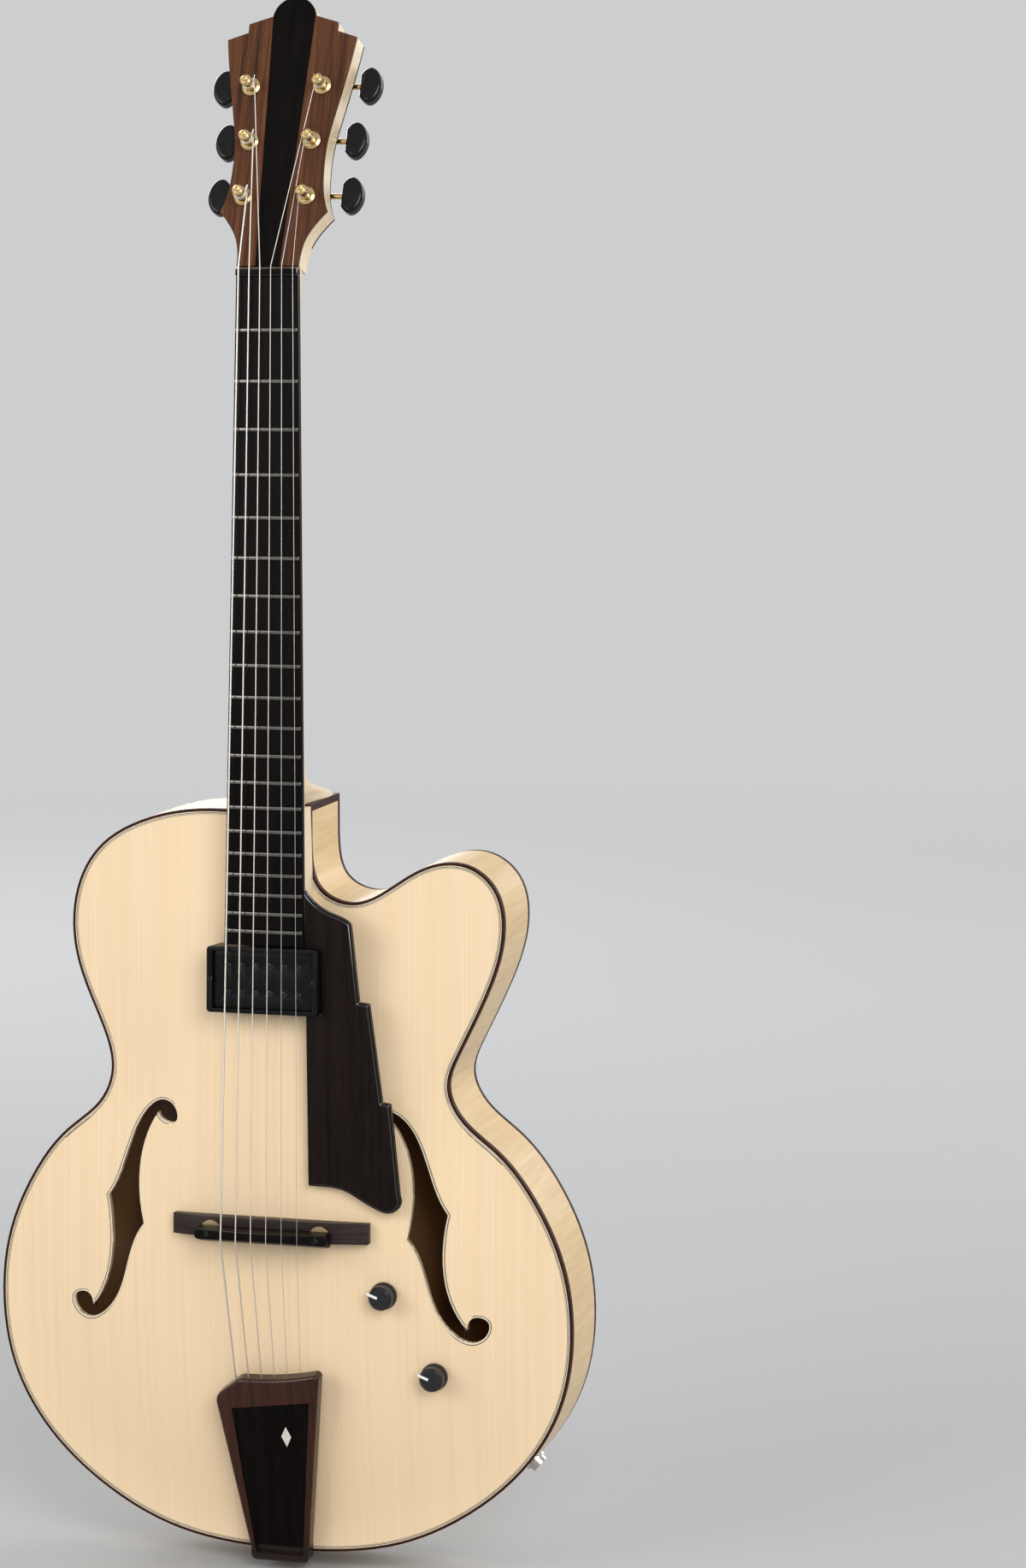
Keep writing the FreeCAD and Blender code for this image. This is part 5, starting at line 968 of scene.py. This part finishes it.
class GUITAR_OT_pointers(bpy.types.Operator):
    """Lays a white pointer line over the top and side of each knob"""

    bl_idname = "guitar.pointers"
    bl_label = "Knob pointers"

    def execute(self, context):
        turn = math.radians(POINTER_TURN)
        # Thick enamel in a groove: even white, a little glossy.
        paint = hard("enamel_filled", "paint", 2 * MM, 0.93, Roughness=0.35)
        for knob, body in (("volume_knob", "volume"), ("tone_knob", "tone")):
            low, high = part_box(knob)
            middle = (low + high) / 2
            top, radius = low.y, (high.x - low.x) / 2
            width, deep = size("pointer_width"), size("pointer_depth")
            start, end = (share * radius for share in POINTER_TOP)
            bpy.ops.object.select_all(action="DESELECT")
            bpy.ops.mesh.primitive_plane_add(
                size=1, location=(middle.x - (start + end) / 2, top, middle.z),
                rotation=(math.radians(90), 0, 0))
            bar = context.object
            bar.scale = (end - start, width, 1)
            bpy.ops.object.transform_apply(location=True, rotation=True, scale=True)
            for along, down in POINTER_PATH:
                tip = min(v.co.x for v in bar.data.vertices)
                low_tip = max(v.co.y for v in bar.data.vertices)
                choose(bar, lambda edge: all(bar.data.vertices[v].co.x < tip + NEAR
                                             for v in edge.vertices), "EDGE")
                step = Vector((middle.x - along * radius - tip,
                               top + down * (high.y - low.y) - low_tip, 0))
                bpy.ops.mesh.extrude_region_move(
                    TRANSFORM_OT_translate={"value": step})
                leave_edit()
            choose(bar)
            bpy.ops.mesh.normals_make_consistent(inside=False)
            leave_edit()
            face_towards(bar, Vector((0, -1, 0)))
            apply(bar, "SOLIDIFY", thickness=deep * 2, offset=0)
            apply(bar, "BEVEL", width=deep * 0.5, segments=2)
            bar.data.transform(Matrix.Translation(middle)
                               @ Matrix.Rotation(turn, 4, "Y")
                               @ Matrix.Translation(-middle))
            settle(bar, knob.replace("knob", "pointer"), body, "black_plastic", paint)
        return {"FINISHED"}


# The lozenge's middle on the panel, right of the guitar's middle and down from the top.
LOZENGE_ACROSS = 11.4 * MM
LOZENGE_DOWN = 26.8 * MM
LOZENGE_EDGE, LOZENGE_RISE, LOZENGE_DEPTH = 0.5 * MM, 0.18 * MM, 0.5 * MM


class GUITAR_OT_lozenge(bpy.types.Operator):
    """Sets a pearl lozenge in the tailpiece's dark panel"""

    bl_idname = "guitar.lozenge"
    bl_label = "Tailpiece lozenge"

    def execute(self, context):
        # Pearl, cut and polished: pale with soft clouds and a clear gloss.
        pearl = hard("pearl_cut_polished", "pearl", 2.5 * MM, 0.72,
                     Roughness=0.18, Coat_Weight=0.5, Coat_Roughness=0.04)
        panel = NODES["tailpiece_inlay"].data
        front = [face for face in panel.polygons if face.normal.y < -0.5]
        if not front:
            raise RuntimeError("the tailpiece's panel has no front face")
        corners = [panel.vertices[v].co for face in front for v in face.vertices]
        top = max(corners, key=lambda spot: spot.z)
        normal = front[0].normal.copy()
        down = normal.cross(ACROSS)
        if down.z > 0:
            down = -down
        centre = Vector((LOZENGE_ACROSS, top.y, top.z)) + down * LOZENGE_DOWN
        bpy.ops.object.select_all(action="DESELECT")
        bpy.ops.mesh.primitive_circle_add(
            vertices=4, radius=0.5, fill_type="NGON", location=centre,
            rotation=Matrix((ACROSS, -down, normal)).transposed().to_euler())
        loz = context.object
        loz.scale = (size("lozenge_width"), size("lozenge_height"), 1)
        bpy.ops.object.transform_apply(location=True, rotation=True, scale=True)
        face_towards(loz, normal)
        choose(loz)
        bpy.ops.mesh.inset(thickness=LOZENGE_EDGE, depth=LOZENGE_RISE)
        leave_edit()
        apply(loz, "SOLIDIFY", thickness=LOZENGE_DEPTH, offset=-0.6)
        settle(loz, "tailpiece_lozenge", "guitar", "nickel", pearl)
        return {"FINISHED"}


CAMERA_PLACE = (0.8616, -2.4231, -0.0078)
CAMERA_AZIMUTH = 16.0
CAMERA_DROP = 7.354
CAMERA_ROLL = -0.403
LENS_PIXELS = 4512.7
PICTURE_WIDTH = 1200
SENSOR = 36.0
LAMPS = (
    # name, place, size across, watts
    ("key_lamp", (2.1, -2.9, 1.3), 2.2, 96),
    ("fill_lamp", (-2.3, -2.8, 1.0), 2.2, 58),
    ("back_key_lamp", (-2.1, 2.9, 1.3), 2.2, 96),
    ("back_fill_lamp", (2.3, 2.8, 1.0), 2.2, 58),
)
SKY_TINT, SKY_LIGHT = (0.97, 0.98, 1.0, 1.0), 0.42
FLOOR_REACH = 60.0
FADE_START, FADE_END = 1.2, 4.5
AIM = Vector((0, 0, -0.45))


def seen(owner):
    """1 where the eye looks at something, straight or in a reflection, and 0 for its light."""
    path = add(owner, "LightPath").outputs
    share = add(owner, "Math", {0: path["Is Camera Ray"], 1: path["Is Glossy Ray"]},
                operation="MAXIMUM").outputs[0]
    return add(owner, "Math", {0: share, 1: path["Is Transmission Ray"]},
               operation="MAXIMUM").outputs[0]


class GUITAR_OT_stage(bpy.types.Operator):
    """Sets the floor that runs out into an even backdrop, soft lamps and the camera"""

    bl_idname = "guitar.stage"
    bl_label = "Studio"

    def execute(self, context):
        scene = context.scene
        bpy.ops.object.select_all(action="DESELECT")
        bpy.ops.mesh.primitive_circle_add(vertices=96, radius=FLOOR_REACH, fill_type="NGON",
                                          location=(0, 0, CAD_BOX[0].z))
        floor = context.object
        bpy.ops.object.transform_apply(location=True, rotation=True, scale=True)
        floor.name = floor.data.name = "studio_floor"
        # Painted board: matt, with faint roller marks. Far from the guitar it runs out into
        # the even backdrop, so that no edge or horizon shows from any side.
        paper = hard("board_painted_matt", "floor", 0.5, 0.97, Roughness=0.8,
                     Specular_IOR_Level=0.0)
        shader = paper.node_tree.nodes["Principled BSDF"]
        away = add(paper, "VectorMath", {0: add(paper, "TexCoord").outputs["Object"]},
                   operation="LENGTH").outputs["Value"]
        fade = add(paper, "MapRange", {0: away, 1: FADE_START, 2: FADE_END},
                   interpolation_type="SMOOTHSTEP").outputs[0]
        share = add(paper, "Math", {0: fade, 1: seen(paper)}, operation="MULTIPLY").outputs[0]
        glow = add(paper, "Emission", {"Color": colour("backdrop"), "Strength": 1.0})
        both = add(paper, "MixShader", {0: share, 1: shader.outputs[0], 2: glow.outputs[0]})
        paper.node_tree.links.new(both.outputs[0],
                                  paper.node_tree.nodes["Material Output"].inputs[0])
        floor.data.materials.append(paper)
        for name, place, across, watts in LAMPS:
            bpy.ops.object.light_add(type="AREA", location=place)
            lamp = context.object
            lamp.name = lamp.data.name = name
            lamp.data.energy = watts
            lamp.data.size = across
            lamp.rotation_euler = (AIM - Vector(place)).to_track_quat("-Z", "Y").to_euler()
            lamp.visible_camera = False
        world = bpy.data.worlds.new("studio_light")
        world.use_nodes = True
        soft = world.node_tree.nodes["Background"]
        soft.inputs["Color"].default_value = SKY_TINT
        soft.inputs["Strength"].default_value = SKY_LIGHT
        plain = add(world, "Background", {"Color": colour("backdrop"), "Strength": 1.0})
        both = add(world, "MixShader", {0: seen(world), 1: soft.outputs[0],
                                        2: plain.outputs[0]})
        world.node_tree.links.new(both.outputs[0],
                                  world.node_tree.nodes["World Output"].inputs[0])
        scene.world = world
        bpy.ops.object.camera_add(location=CAMERA_PLACE)
        camera = context.object
        turn, drop, roll = (math.radians(a) for a in
                            (CAMERA_AZIMUTH, CAMERA_DROP, CAMERA_ROLL))
        ahead = Vector((-math.sin(turn) * math.cos(drop), math.cos(turn) * math.cos(drop),
                        -math.sin(drop)))
        level = Vector((math.cos(turn), math.sin(turn), 0))
        up = level.cross(ahead)
        right = level * math.cos(roll) + up * math.sin(roll)
        up = up * math.cos(roll) - level * math.sin(roll)
        camera.matrix_world = Matrix.Translation(CAMERA_PLACE) @ Matrix(
            (right, up, -ahead)).transposed().to_4x4()
        camera.data.sensor_fit = "HORIZONTAL"
        camera.data.sensor_width = SENSOR
        camera.data.lens = LENS_PIXELS * SENSOR / PICTURE_WIDTH
        scene.camera = camera
        scene.view_settings.view_transform = "Standard"
        return {"FINISHED"}


class GUITAR_PT_panel(bpy.types.Panel):
    """Lists the guitar's building steps, colours and sizes"""

    bl_idname = "GUITAR_PT_panel"
    bl_label = "Archtop guitar"
    bl_space_type = "VIEW_3D"
    bl_region_type = "UI"
    bl_category = "Guitar"

    def draw(self, context):
        for step in STEPS:
            self.layout.operator(step.bl_idname)
        for settings in (context.scene.guitar_colours, context.scene.guitar_sizes):
            for key in settings.__annotations__:
                self.layout.prop(settings, key)


STEPS = (GUITAR_OT_woods, GUITAR_OT_hardware, GUITAR_OT_strings, GUITAR_OT_binding,
         GUITAR_OT_sound_holes, GUITAR_OT_rounding, GUITAR_OT_heads, GUITAR_OT_posts,
         GUITAR_OT_housings, GUITAR_OT_pointers, GUITAR_OT_lozenge, GUITAR_OT_stage)
CLASSES = (GuitarColours, GuitarSizes, *STEPS, GUITAR_PT_panel)


def register():
    for kind in CLASSES:
        bpy.utils.register_class(kind)
    bpy.types.Scene.guitar_colours = bpy.props.PointerProperty(type=GuitarColours)
    bpy.types.Scene.guitar_sizes = bpy.props.PointerProperty(type=GuitarSizes)


def unregister():
    del bpy.types.Scene.guitar_sizes
    del bpy.types.Scene.guitar_colours
    for kind in reversed(CLASSES):
        bpy.utils.unregister_class(kind)


def main():
    register()
    bpy.ops.guitar.woods()
    bpy.ops.guitar.hardware()
    bpy.ops.guitar.strings()
    bpy.ops.guitar.binding()
    bpy.ops.guitar.sound_holes()
    bpy.ops.guitar.rounding()
    bpy.ops.guitar.heads()
    bpy.ops.guitar.posts()
    bpy.ops.guitar.housings()
    bpy.ops.guitar.pointers()
    bpy.ops.guitar.lozenge()
    bpy.ops.guitar.stage()
    only(bpy.context.object)
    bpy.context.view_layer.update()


if __name__ == "__main__":
    main()
